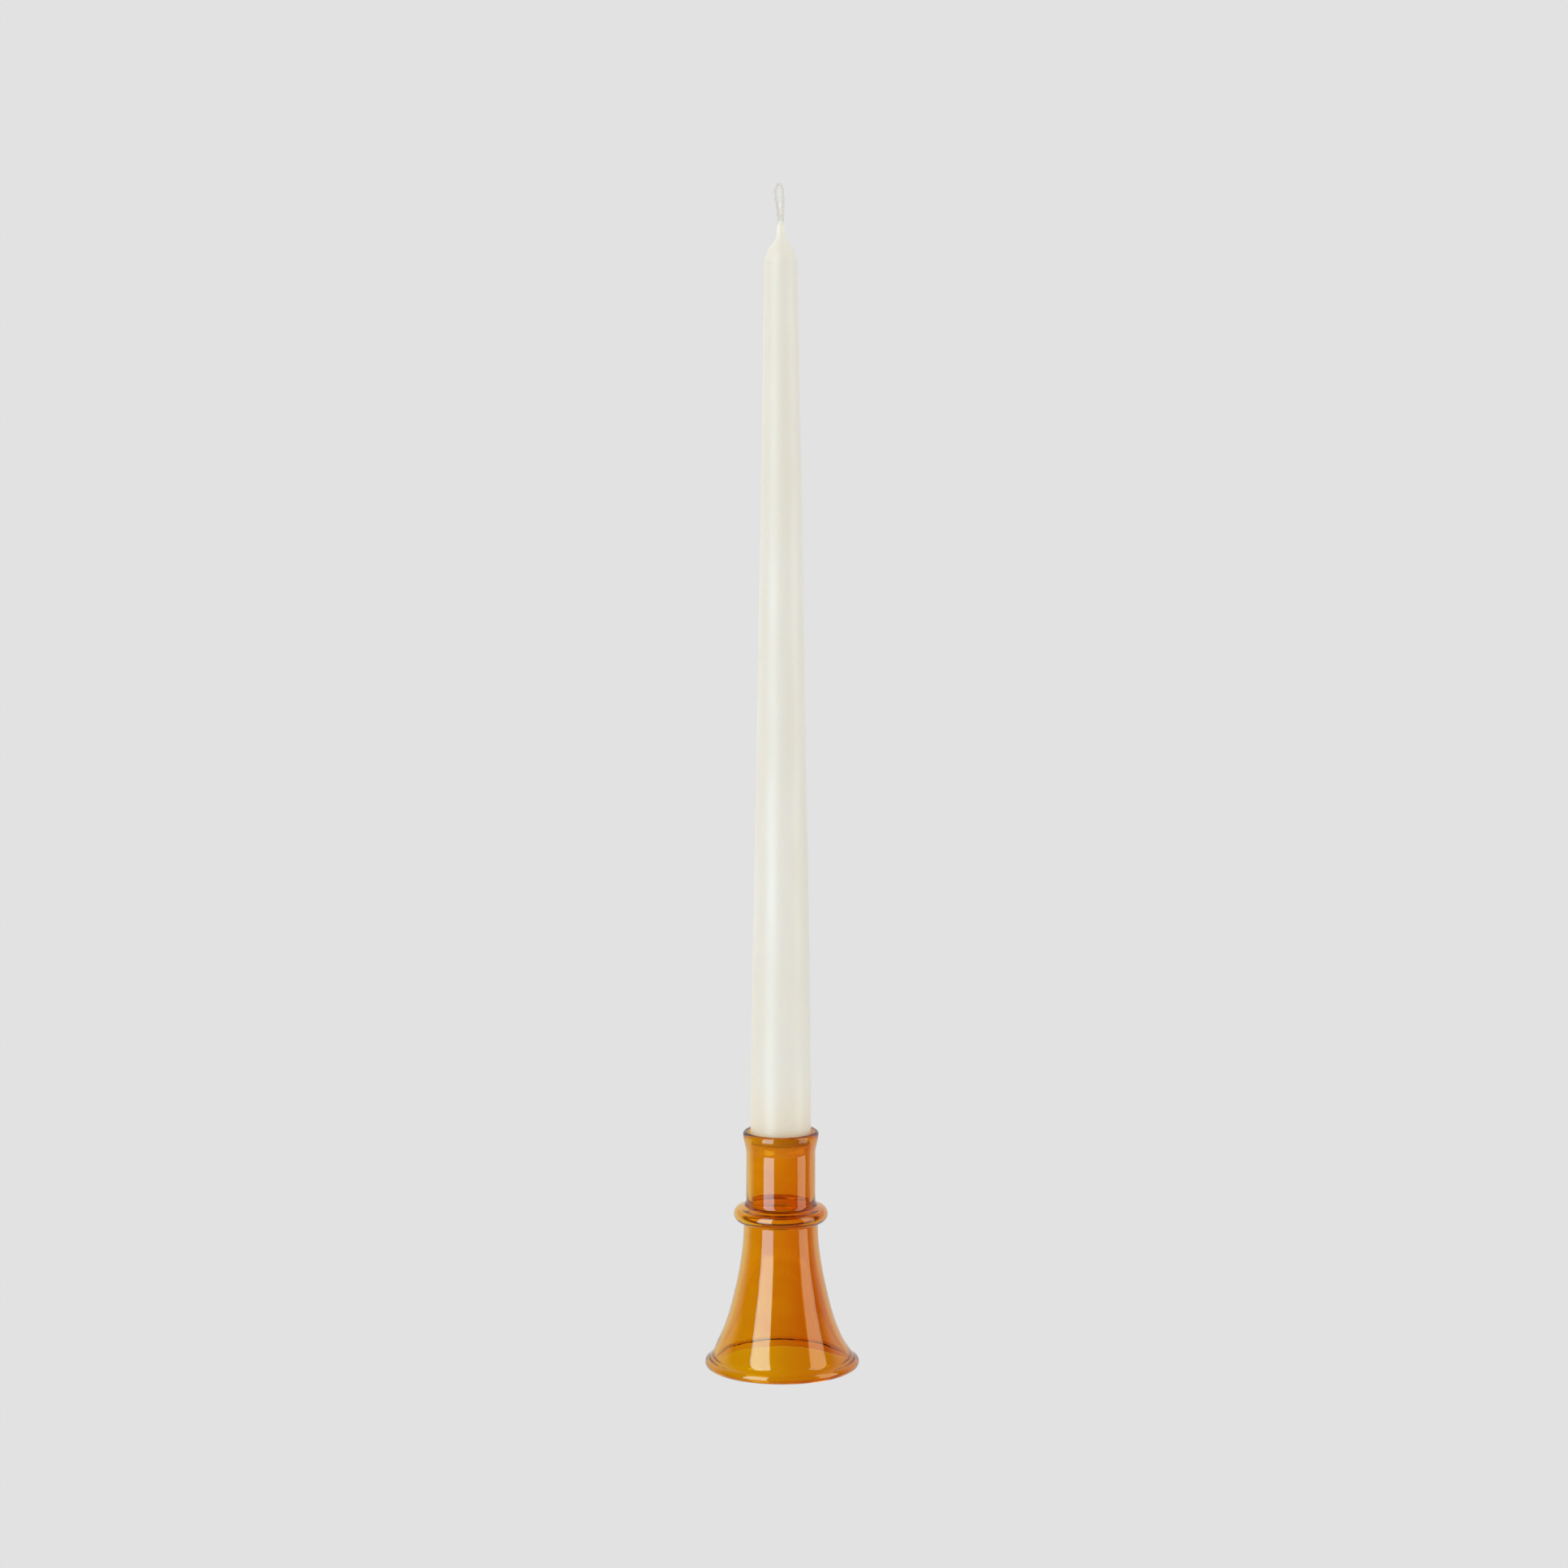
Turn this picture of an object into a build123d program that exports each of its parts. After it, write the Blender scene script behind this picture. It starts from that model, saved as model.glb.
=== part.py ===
from build123d import *
import os
from math import asin, atan2, cos, degrees, radians, sin, sqrt

# A blown-glass candlestick with a dipped taper candle wedged in its mouth.
#
# The holder is four glass pieces, fused on one axis: a socket tube with a flared lip, the floor that
# closes it, a hollow collar ring that is sealed round the closed end, and a bell foot with a rolled
# rim. The candle is a wax body on a wick, which is one strand bent over into a loop above the wax.
#
# Frame: millimetres, +Z up. The origin is on the axis, at the level that the foot stands on.
# Every section is drawn as (distance from the axis, height) and turned about the axis.

os.makedirs("parts", exist_ok=True)

# ---------------------------------------------------------------- driving dimensions
# Glass holder
holder_height = 90.0  # from the table to the top of the lip
wall = 1.75  # thickness of the blown wall
foot_diameter = 57.6  # over the rolled rim
foot_roll = 1.8  # radius of the rolled rim
foot_land = 1.2  # width of the flat ring that the foot stands on
collar_overhang = 4.65  # how far the collar ring stands out past the socket tube
neck_inset = 3.65  # how far the neck is drawn in under the ring's widest line
collar_roll = 2.85  # outside radius of the ring's round
collar_wall = 1.4  # thickness of the ring's wall
collar_level = 58.5  # height of the ring's widest line
collar_top_blend = 2.6  # hollow curve between the ring and the socket tube
collar_crease = 0.7  # small curve between the ring and the neck
floor_rise = 2.1  # from the ring's widest line up to the top of the socket's floor
floor_thickness = 1.75  # thickness of the floor
floor_blend = 2.0  # inside rounding of the closed end
floor_stub = 0.5  # straight stretch of the closed end, above its rounding
neck_blend = 0.7  # rounding inside, between the ring's hollow and the neck
lip_thickness = 2.3  # fire-polished lip, thicker than the wall
lip_spread = 0.65  # how far the bore widens towards the mouth
flare_height = 5.0  # height of the widening mouth, under the lip's top
lip_swell = 8.6  # how far the thickening of the lip reaches down the outside

# Candle
candle_diameter = 22.5  # at its base
candle_length = 336.2  # from its base to the wax tip, without the neck on the wick
candle_straight = 26.7  # straight stretch above the base
candle_base_round = 1.2  # rounded lower edge
candle_top_diameter = 12.1  # below the shoulder
shoulder_height = 10.0  # from the top of the taper to the wax tip
wick_diameter = 1.2  # waxed cotton strand
wax_film = 0.25  # wax over the strands at the neck
wax_neck_height = 6.0  # how far the wax climbs the two strands
wick_loop_height = 12.0  # open loop above the wax neck
wick_loop_width = 2.7  # between the strands' middles, at the top of the loop
wick_loop_lean = 0.6  # how far the loop leans to -X
wick_tail = 22.0  # how far the strand's short leg runs down inside the wax

# Fits
grip = 0.2  # the candle's base is this much wider than the straight bore
seat_gap = 0.1  # clearance around the candle where it stops in the mouth
strand_gap = 0.1  # between the two strands of the wick
wick_lift = 1.0  # wax under the lower end of the wick

# The bell foot's outside, as shares of its drop from the neck and of its spread at each of them
bell_outline = ((0.27, 0.081), (0.516, 0.257), (0.75, 0.498), (0.93, 0.795))
rim_slope = 60.0  # degrees from upright, where the wall runs into the rolled rim

# ---------------------------------------------------------------- sizes that follow
bore_radius = (candle_diameter - grip) / 2
tube_radius = bore_radius + wall
collar_diameter = 2 * (tube_radius + collar_overhang)
neck_diameter = collar_diameter - 2 * neck_inset
neck_radius = neck_diameter / 2
neck_bore_radius = neck_radius - wall
ring_radius = collar_diameter / 2 - collar_roll
floor_level = collar_level + floor_rise
floor_underside = floor_level - floor_thickness
floor_seam = floor_level + floor_blend + floor_stub

# The closed end's outside rounding is square to the inside one.
end_round = floor_blend + min(wall, floor_thickness)
end_level = floor_underside + end_round

# The ring's hollow runs one collar wall inside its outside, up to the seal round the closed end.
hollow_radius = collar_roll - collar_wall
seal_round = collar_top_blend + collar_wall

# The seams are level cuts just past the collar's blends.
blend_rise = sqrt((collar_roll + collar_top_blend) ** 2 - (tube_radius + collar_top_blend - ring_radius) ** 2)
socket_seam = collar_level + blend_rise + wall / 2
seal_middle = (tube_radius + collar_top_blend, collar_level + blend_rise)
foot_seam = collar_level - collar_roll - collar_crease - wall / 2

# The mouth widens along one arc, from the straight bore to the inside of the lip.
lip_round = lip_thickness / 2
lip_level = holder_height - lip_round
flare_start = holder_height - flare_height
flare_rise = lip_level - flare_start
mouth_radius = bore_radius + lip_spread
flare_arc = (flare_rise**2 + lip_spread**2) / (2 * lip_spread)

# The candle stops where its full base meets the widening mouth.
seat_spread = candle_diameter / 2 + seat_gap - bore_radius
seat_level = flare_start + sqrt(flare_arc**2 - (flare_arc - seat_spread) ** 2)
candle_base = seat_level - candle_base_round
candle_tip = candle_base + candle_length
shoulder_level = candle_tip - shoulder_height
neck_top = candle_tip + wax_neck_height
strand_offset = (wick_diameter + strand_gap) / 2
wax_neck_radius = strand_offset + wick_diameter / 2 + wax_film
loop_top = neck_top + wick_loop_height - wick_diameter / 2

# The foot's roll stands on a flat land, so its middle is a little lower than its radius.
foot_radius = foot_diameter / 2
roll_radius = foot_radius - foot_roll
roll_level = sqrt(foot_roll**2 - (foot_land / 2) ** 2)

# ---------------------------------------------------------------- socket tube
with BuildPart() as socket_tube:
    with BuildSketch(Plane.XZ):
        with BuildLine():
            outside = Line((tube_radius, socket_seam), (tube_radius, holder_height - lip_swell))
            Spline(
                outside @ 1,
                (mouth_radius + lip_thickness, lip_level),
                tangents=(outside % 1, (0, 1)),
            )
            ThreePointArc(
                (mouth_radius + lip_thickness, lip_level),
                (mouth_radius + lip_round, holder_height),
                (mouth_radius, lip_level),
            )
            flare_middle = flare_start + flare_rise / 2
            middle_spread = flare_arc - sqrt(flare_arc**2 - (flare_rise / 2) ** 2)
            ThreePointArc(
                (mouth_radius, lip_level),
                (bore_radius + middle_spread, flare_middle),
                (bore_radius, flare_start),
            )
            Line((bore_radius, flare_start), (bore_radius, socket_seam))
            Line((bore_radius, socket_seam), (tube_radius, socket_seam))
        make_face()
    revolve(axis=Axis.Z)

# ---------------------------------------------------------------- socket floor
# The outline of the closed end, filled in
with BuildSketch(Plane.XZ) as closed_end:
    with BuildLine():
        Polyline(
            (tube_radius - end_round, floor_underside),
            (0, floor_underside),
            (0, floor_seam),
            (tube_radius, floor_seam),
            (tube_radius, end_level),
        )
        CenterArc((tube_radius - end_round, end_level), end_round, -90, 90)
    make_face()

with BuildPart() as socket_floor:
    with BuildSketch(Plane.XZ):
        add(closed_end.sketch_local)
        with BuildLine():
            Polyline(
                (bore_radius - floor_blend, floor_level),
                (0, floor_level),
                (0, floor_seam),
                (bore_radius, floor_seam),
                (bore_radius, floor_level + floor_blend),
            )
            CenterArc((bore_radius - floor_blend, floor_level + floor_blend), floor_blend, -90, 90)
        make_face(mode=Mode.SUBTRACT)
    revolve(axis=Axis.Z)

# ---------------------------------------------------------------- collar ring
to_ring = degrees(atan2(collar_level - seal_middle[1], ring_radius - seal_middle[0])) + 360
to_end = 180 + degrees(asin((seal_middle[1] - end_level) / seal_round))
seal_end = (seal_middle[0] + seal_round * cos(radians(to_end)), end_level)
with BuildPart() as collar_ring:
    with BuildSketch(Plane.XZ) as collar_section:
        with Locations((ring_radius, collar_level)):
            Circle(collar_roll)
        with Locations((0, collar_level)):
            Rectangle(tube_radius, socket_seam - collar_level, align=(Align.MIN, Align.MIN))
            Rectangle(neck_radius, collar_level - foot_seam, align=(Align.MIN, Align.MAX))
        tube_corner = (tube_radius, collar_level + sqrt(collar_roll**2 - (ring_radius - tube_radius) ** 2))
        neck_corner = (neck_radius, collar_level - sqrt(collar_roll**2 - (ring_radius - neck_radius) ** 2))
        fillet(collar_section.vertices().sort_by_distance(tube_corner)[0], collar_top_blend)
        fillet(collar_section.vertices().sort_by_distance(neck_corner)[0], collar_crease)
        # The hollow, from the seal round the ring and down the neck
        with BuildLine():
            CenterArc(seal_middle, seal_round, to_end, to_ring - to_end)
            CenterArc((ring_radius, collar_level), hollow_radius, -90, to_ring - 90)
            Line(
                (ring_radius, collar_level - hollow_radius),
                (neck_bore_radius + neck_blend, collar_level - hollow_radius),
            )
            CenterArc(
                (neck_bore_radius + neck_blend, collar_level - hollow_radius - neck_blend),
                neck_blend,
                90,
                90,
            )
            Polyline(
                (neck_bore_radius, collar_level - hollow_radius - neck_blend),
                (neck_bore_radius, foot_seam),
                (0, foot_seam),
                (0, end_level),
                seal_end,
            )
        make_face(mode=Mode.SUBTRACT)
        # The room for the closed end, and the bore above it
        add(closed_end.sketch_local, mode=Mode.SUBTRACT)
        with Locations((0, floor_seam)):
            Rectangle(bore_radius, socket_seam - floor_seam, align=(Align.MIN, Align.MIN), mode=Mode.SUBTRACT)
    revolve(axis=Axis.Z)

# ---------------------------------------------------------------- bell foot
slope = radians(rim_slope)
rim_meeting = (roll_radius + foot_roll * cos(slope), roll_level + foot_roll * sin(slope))
bell_drop = foot_seam - rim_meeting[1]
bell_spread = rim_meeting[0] - neck_radius
bell_points = [
    (neck_radius + spread * bell_spread, foot_seam - drop * bell_drop) for drop, spread in bell_outline
]
with BuildPart() as bell_foot:
    with BuildSketch(Plane.XZ):
        with BuildLine():
            outside = Spline(
                (neck_radius, foot_seam),
                *bell_points,
                rim_meeting,
                tangents=((0, -1), (sin(slope), -cos(slope))),
            )
            # The inside runs one wall away from the outside, square to it.
            inside = Spline(
                *[
                    outside @ share + (outside % share).rotate(Axis.Z, -90) * wall
                    for share in (0, 0.2, 0.4, 0.6, 0.8, 1)
                ],
                tangents=(outside % 0, outside % 1),
            )
            Line(outside @ 0, inside @ 0)
            Line(outside @ 1, inside @ 1)
        make_face()
        with Locations((roll_radius, roll_level)):
            Circle(foot_roll)
        Rectangle(foot_radius, foot_roll, align=(Align.MIN, Align.MAX), mode=Mode.SUBTRACT)
    revolve(axis=Axis.Z)

# ---------------------------------------------------------------- wick
# One strand: up through the wax, over in a narrow loop that leans to -X, and back into the wax.
loop_left = -wick_loop_lean - wick_loop_width / 2
loop_right = -wick_loop_lean + wick_loop_width / 2
loop_round = 0.43 * wick_loop_width
neck_bend = 3 * wick_loop_width
with BuildPart() as wick:
    with BuildLine(Plane.XZ) as wick_route:
        FilletPolyline(
            (-strand_offset, candle_base + wick_lift),
            (-strand_offset, neck_top),
            (loop_left, loop_top),
            (loop_right, loop_top),
            (strand_offset, neck_top),
            (strand_offset, candle_tip - wick_tail),
            radius=[neck_bend, loop_round, loop_round, neck_bend],
        )
    with BuildSketch(Plane(wick_route.line @ 0, z_dir=wick_route.line % 0)):
        Circle(wick_diameter / 2)
    sweep()

# ---------------------------------------------------------------- candle wax
base_radius = candle_diameter / 2
top_radius = candle_top_diameter / 2
with BuildPart() as candle_wax:
    with BuildSketch(Plane.XZ):
        with BuildLine():
            Polyline(
                (0, neck_top),
                (0, candle_base),
                (base_radius - candle_base_round, candle_base),
            )
            RadiusArc(
                (base_radius - candle_base_round, candle_base),
                (base_radius, candle_base + candle_base_round),
                -candle_base_round,
            )
            taper = Polyline(
                (base_radius, candle_base + candle_base_round),
                (base_radius, candle_base + candle_straight),
                (top_radius, shoulder_level),
            )
            # A round shoulder that draws in to the waxed neck
            Spline(
                taper @ 1,
                (0.64 * top_radius, shoulder_level + 0.56 * shoulder_height),
                (wax_neck_radius, candle_tip),
                tangents=(taper % 1, (0, 1)),
            )
            Polyline((wax_neck_radius, candle_tip), (wax_neck_radius, neck_top), (0, neck_top))
        make_face()
    revolve(axis=Axis.Z)
    # The wax is cast around the wick.
    add(wick.part, mode=Mode.SUBTRACT)

# ---------------------------------------------------------------- files
pieces = {
    "socket_tube": socket_tube,
    "socket_floor": socket_floor,
    "collar_ring": collar_ring,
    "bell_foot": bell_foot,
    "candle_wax": candle_wax,
    "wick": wick,
}
for name, piece in pieces.items():
    piece.part.label = name
    export_step(piece.part, f"parts/{name}.step")
    print(f"{name}: {piece.part.volume:.1f} mm3")
print(f"candle base at {candle_base:.2f}, wax tip at {candle_tip:.2f}, loop top at {loop_top:.2f}")
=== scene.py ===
import logging
import math
from dataclasses import dataclass, field
from enum import Enum

import bpy
import numpy as np
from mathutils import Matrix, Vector


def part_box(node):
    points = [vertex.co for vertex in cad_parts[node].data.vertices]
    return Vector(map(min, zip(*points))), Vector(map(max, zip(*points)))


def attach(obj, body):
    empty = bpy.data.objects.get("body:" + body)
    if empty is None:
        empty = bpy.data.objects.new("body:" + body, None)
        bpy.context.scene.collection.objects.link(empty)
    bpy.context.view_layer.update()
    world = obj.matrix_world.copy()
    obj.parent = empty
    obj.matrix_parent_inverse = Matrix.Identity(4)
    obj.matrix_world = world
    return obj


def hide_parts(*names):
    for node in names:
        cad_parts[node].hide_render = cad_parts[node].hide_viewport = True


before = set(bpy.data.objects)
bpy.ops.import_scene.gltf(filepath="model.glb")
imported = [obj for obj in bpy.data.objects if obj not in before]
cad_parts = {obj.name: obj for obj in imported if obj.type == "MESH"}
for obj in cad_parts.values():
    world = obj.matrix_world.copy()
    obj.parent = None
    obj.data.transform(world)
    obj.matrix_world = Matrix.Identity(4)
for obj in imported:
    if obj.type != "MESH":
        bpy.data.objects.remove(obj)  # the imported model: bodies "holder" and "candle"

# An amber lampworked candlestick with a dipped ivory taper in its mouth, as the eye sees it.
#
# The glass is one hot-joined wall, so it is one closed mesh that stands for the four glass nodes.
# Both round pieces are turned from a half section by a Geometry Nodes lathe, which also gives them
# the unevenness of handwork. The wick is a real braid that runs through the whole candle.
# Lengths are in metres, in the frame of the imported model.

log = logging.getLogger("candlestick")

MM = 0.001
Point2 = tuple[float, float]


class Body(Enum):
    """The rigid bodies that the pieces ride on."""

    HOLDER = "holder"
    CANDLE = "candle"


class Node(Enum):
    """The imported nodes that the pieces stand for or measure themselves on."""

    SOCKET_TUBE = "socket_tube"
    SOCKET_FLOOR = "socket_floor"
    COLLAR_RING = "collar_ring"
    BELL_FOOT = "bell_foot"
    CANDLE_WAX = "candle_wax"
    WICK = "wick"


class Slot(Enum):
    """The record's material slots."""

    GLASS = "amber_glass"
    WAX = "ivory_wax"
    COTTON = "cotton_wick"


# ------------------------------------------------------------------------------ half sections


def arc(centre: Point2, radius: float, start: float, end: float, steps: int) -> list[Point2]:
    """Points along a round stretch of a section.

    Args:
        centre: Middle of the round.
        radius: Its radius.
        start: Angle of the first point, in degrees from outwards (+r) towards up (+z).
        end: Angle of the last point.
        steps: Number of chords.

    Returns:
        steps + 1 points, both ends included.
    """
    angles = np.radians(np.linspace(start, end, steps + 1))
    return [(centre[0] + radius * math.cos(a), centre[1] + radius * math.sin(a)) for a in angles]


def line(start: Point2, end: Point2, steps: int) -> list[Point2]:
    """Points along a straight stretch of a section.

    Args:
        start: First point.
        end: Last point.
        steps: Number of chords.

    Returns:
        steps + 1 points, both ends included.
    """
    shares = np.linspace(0, 1, steps + 1)
    return [(start[0] + s * (end[0] - start[0]), start[1] + s * (end[1] - start[1])) for s in shares]


def cubic_weights(share: float) -> tuple[float, float, float, float]:
    """Weights of a cubic's two ends and of its directions there.

    Args:
        share: How far along, from 0 to 1.

    Returns:
        The weights of the start, the direction out of it, the end and the direction into it.
    """
    s = share
    return (
        2 * s**3 - 3 * s**2 + 1,
        s**3 - 2 * s**2 + s,
        -2 * s**3 + 3 * s**2,
        s**3 - s**2,
    )


def bend(start: Point2, leaving: Point2, end: Point2, arriving: Point2, steps: int) -> list[Point2]:
    """Points along a smooth curve between two points with given directions.

    Args:
        start: First point.
        leaving: Direction there, as a unit vector.
        end: Last point.
        arriving: Direction there, as a unit vector.
        steps: Number of chords.

    Returns:
        steps + 1 points, both ends included.
    """
    reach = math.dist(start, end)
    points = []
    for s in np.linspace(0, 1, steps + 1):
        at_start, out, at_end, back = cubic_weights(s)
        points.append(
            tuple(
                at_start * start[i] + out * reach * leaving[i] + at_end * end[i] + back * reach * arriving[i]
                for i in (0, 1)
            )
        )
    return points


def spline(knots: list[Point2], leaving: Point2, arriving: Point2, steps: int) -> list[Point2]:
    """Points along a clamped cubic spline.

    Args:
        knots: The points that it passes through.
        leaving: Direction at the first knot, as a unit vector.
        arriving: Direction at the last knot, as a unit vector.
        steps: Number of chords in all.

    Returns:
        steps + 1 points, both ends included.
    """
    places = np.array(knots, float)
    spans = np.linalg.norm(np.diff(places, axis=0), axis=1)
    knots_at = np.concatenate([[0.0], np.cumsum(spans)])
    count = len(places)
    matrix = np.zeros((count, count))
    wanted = np.zeros((count, 2))
    matrix[0, 0] = matrix[-1, -1] = 1.0
    wanted[0], wanted[-1] = leaving, arriving
    for i in range(1, count - 1):
        before, after = spans[i - 1], spans[i]
        matrix[i, i - 1 : i + 2] = after, 2 * (before + after), before
        rise_before = (places[i] - places[i - 1]) / before
        rise_after = (places[i + 1] - places[i]) / after
        wanted[i] = 3 * (after * rise_before + before * rise_after)
    slopes = np.linalg.solve(matrix, wanted)
    points = []
    for at in np.linspace(0, knots_at[-1], steps + 1):
        i = min(max(int(np.searchsorted(knots_at, at)) - 1, 0), count - 2)
        span = spans[i]
        at_start, out, at_end, back = cubic_weights((at - knots_at[i]) / span)
        points.append(
            tuple(
                at_start * places[i]
                + out * span * slopes[i]
                + at_end * places[i + 1]
                + back * span * slopes[i + 1]
            )
        )
    return [(float(r), float(z)) for r, z in points]


def offset(points: list[Point2], distance: float) -> list[Point2]:
    """The same stretch moved sideways, to the left of its direction.

    Args:
        points: The stretch.
        distance: How far it moves; negative moves it to the right.

    Returns:
        As many points as given.
    """
    places = np.array(points, float)
    along = np.gradient(places, axis=0)
    along /= np.linalg.norm(along, axis=1)[:, None]
    moved = places + distance * np.stack([-along[:, 1], along[:, 0]], axis=1)
    return [(float(r), float(z)) for r, z in moved]


def bearing(start: Point2, end: Point2) -> float:
    """Direction from one point of a section to another.

    Args:
        start: The first point.
        end: The second point.

    Returns:
        The angle in degrees from outwards towards up, between 0 and 360.
    """
    return math.degrees(math.atan2(end[1] - start[1], end[0] - start[0])) % 360


def lower_crossing(left: Point2, left_radius: float, right: Point2, right_radius: float) -> Point2:
    """Where two circles that stand side by side cross, below their middles.

    Args:
        left: Middle of the circle nearer to the axis.
        left_radius: Its radius.
        right: Middle of the other circle.
        right_radius: Its radius.

    Returns:
        The lower of the two crossings.
    """
    apart = math.dist(left, right)
    along = (left_radius**2 - right_radius**2 + apart**2) / (2 * apart)
    down = math.sqrt(left_radius**2 - along**2)
    out, up = (right[0] - left[0]) / apart, (right[1] - left[1]) / apart
    return left[0] + along * out + down * up, left[1] + along * up - down * out


def share_between(value: float, low: float, high: float) -> float:
    """How far a value has come from one limit to another.

    Args:
        value: The value.
        low: Where the share is 0.
        high: Where it is 1.

    Returns:
        The share, held at both ends.
    """
    return min(max((value - low) / (high - low), 0.0), 1.0)


def eased(value: float, low: float, high: float) -> float:
    """The same share, easing in and out.

    Args:
        value: The value.
        low: Where the share is 0.
        high: Where it is 1.

    Returns:
        The share, held at both ends.
    """
    share = share_between(value, low, high)
    return share**2 * (3 - 2 * share)


def joined(*stretches: list[Point2]) -> list[Point2]:
    """One section from stretches that follow each other, with no point twice.

    Args:
        *stretches: The stretches, in order.

    Returns:
        All their points, without those closer than a hundredth of a millimetre to the last one.
    """
    section: list[Point2] = []
    for point in (p for stretch in stretches for p in stretch):
        if not section or math.dist(point, section[-1]) > 0.01 * MM:
            section.append(point)
    return section


# ------------------------------------------------------------------------------ node helpers


class NodeCanvas:
    """Places nodes in a tree and links them, so that a tree reads as a list of steps."""

    def __init__(self, tree: bpy.types.NodeTree) -> None:
        """Starts on a tree.

        Args:
            tree: The tree to build in.
        """
        self.tree = tree

    def add(self, kind: str, label: str = "", **settings: object) -> bpy.types.Node:
        """Adds a node.

        Args:
            kind: Its type name.
            label: What it is for.
            **settings: Properties to set on it.

        Returns:
            The node.
        """
        node = self.tree.nodes.new(kind)
        node.label = label
        node.location = (220 * (len(self.tree.nodes) % 12), -260 * (len(self.tree.nodes) // 12))
        for name, value in settings.items():
            setattr(node, name, value)
        return node

    def feed(self, target: bpy.types.NodeSocket, source: object) -> None:
        """Links a socket into another, or sets it to a plain value.

        Args:
            target: The input socket.
            source: An output socket, or a value.
        """
        if isinstance(source, bpy.types.NodeSocket):
            self.tree.links.new(source, target)
        else:
            target.default_value = source

    def math(self, operation: str, *values: object) -> bpy.types.NodeSocket:
        """Adds a Math node.

        Args:
            operation: Its operation.
            *values: Sockets or numbers for its inputs.

        Returns:
            Its output.
        """
        node = self.add("ShaderNodeMath", operation=operation)
        for target, value in zip(node.inputs, values):
            self.feed(target, value)
        return node.outputs[0]

    def blend(self, low: object, high: object, share: object) -> bpy.types.NodeSocket:
        """Mixes two colours.

        Args:
            low: Colour where the share is 0.
            high: Colour where the share is 1.
            share: The share.

        Returns:
            The mixed colour.
        """
        node = self.add("ShaderNodeMix", data_type="RGBA")
        self.feed(node.inputs["Factor"], share)
        self.feed(node.inputs[6], low)
        self.feed(node.inputs[7], high)
        return node.outputs[2]

    def ramp(self, value: object, low: float, high: float, to_low: float, to_high: float,
             smooth: bool = True) -> bpy.types.NodeSocket:
        """Maps a number from one range to another, held at the ends.

        Args:
            value: The number.
            low: Where the range starts.
            high: Where it ends.
            to_low: Result at its start.
            to_high: Result at its end.
            smooth: Whether the change eases in and out.

        Returns:
            The result.
        """
        node = self.add("ShaderNodeMapRange", interpolation_type="SMOOTHSTEP" if smooth else "LINEAR")
        for name, setting in zip(
            ("Value", "From Min", "From Max", "To Min", "To Max"), (value, low, high, to_low, to_high)
        ):
            self.feed(node.inputs[name], setting)
        return node.outputs[0]

    def dress(
        self, surface: bpy.types.NodeSocket, material: bpy.types.NodeSocket, finished: bpy.types.Node
    ) -> None:
        """Ends a geometry tree: smooth shading, real instances and the piece's material.

        Args:
            surface: The geometry.
            material: The material.
            finished: The tree's output node.
        """
        smooth = self.add("GeometryNodeSetShadeSmooth")
        self.feed(smooth.inputs["Geometry"], surface)
        realized = self.add("GeometryNodeRealizeInstances")
        self.feed(realized.inputs[0], smooth.outputs[0])
        dressed = self.add("GeometryNodeSetMaterial")
        self.feed(dressed.inputs["Geometry"], realized.outputs[0])
        self.feed(dressed.inputs["Material"], material)
        self.feed(finished.inputs[0], dressed.outputs[0])

    def bump(self, height: object, distance: float, strength: float = 1.0) -> bpy.types.NodeSocket:
        """Turns a height into a bumped normal.

        Args:
            height: The height, from 0 to 1.
            distance: How far the surface seems to rise for a height of 1.
            strength: How much of that shows.

        Returns:
            The normal.
        """
        node = self.add("ShaderNodeBump")
        node.inputs["Strength"].default_value = strength
        node.inputs["Distance"].default_value = distance
        self.feed(node.inputs["Height"], height)
        return node.outputs[0]


def new_sockets(
    tree: bpy.types.NodeTree, way: str, sockets: dict[str, tuple[str, object]]
) -> dict[str, str]:
    """Gives a tree its named inputs or outputs.

    Args:
        tree: The tree.
        way: INPUT or OUTPUT.
        sockets: Name to (socket type, default or None).

    Returns:
        Name to the socket's identifier.
    """
    made = {}
    for name, (kind, default) in sockets.items():
        socket = tree.interface.new_socket(name=name, in_out=way, socket_type=kind)
        if default is not None:
            socket.default_value = default
        made[name] = socket.identifier
    return made


def place_object(name: str, data: bpy.types.ID) -> bpy.types.Object:
    """Makes an object and links it to the scene.

    Args:
        name: Its name.
        data: Its mesh, curve, light or camera.

    Returns:
        The object.
    """
    obj = bpy.data.objects.new(name, data)
    bpy.context.scene.collection.objects.link(obj)
    return obj


def grown(obj: bpy.types.Object, tree: bpy.types.NodeTree, inputs: dict[str, str],
          settings: dict[str, object]) -> bpy.types.Object:
    """Runs a geometry tree on an object and keeps the result as a plain mesh.

    Args:
        obj: The object, at the origin.
        tree: The tree.
        inputs: Input names to identifiers.
        settings: Input names to values.

    Returns:
        A new mesh object under the same name.
    """
    modifier = obj.modifiers.new(tree.name, "NODES")
    modifier.node_group = tree
    for name, value in settings.items():
        modifier[inputs[name]] = value
    return settle(obj)


def settle(obj: bpy.types.Object) -> bpy.types.Object:
    """Turns an object and its modifiers into a plain mesh.

    Args:
        obj: An object with live modifiers, at the origin.

    Returns:
        A new mesh object under the same name.
    """
    name = obj.name
    depsgraph = bpy.context.evaluated_depsgraph_get()
    mesh = bpy.data.meshes.new_from_object(obj.evaluated_get(depsgraph), depsgraph=depsgraph)
    source = obj.data
    bpy.data.objects.remove(obj)
    if isinstance(source, bpy.types.Curve):
        bpy.data.curves.remove(source)
    else:
        bpy.data.meshes.remove(source)
    mesh.name = name
    return place_object(name, mesh)


# ------------------------------------------------------------------------------ the lathe


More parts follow.
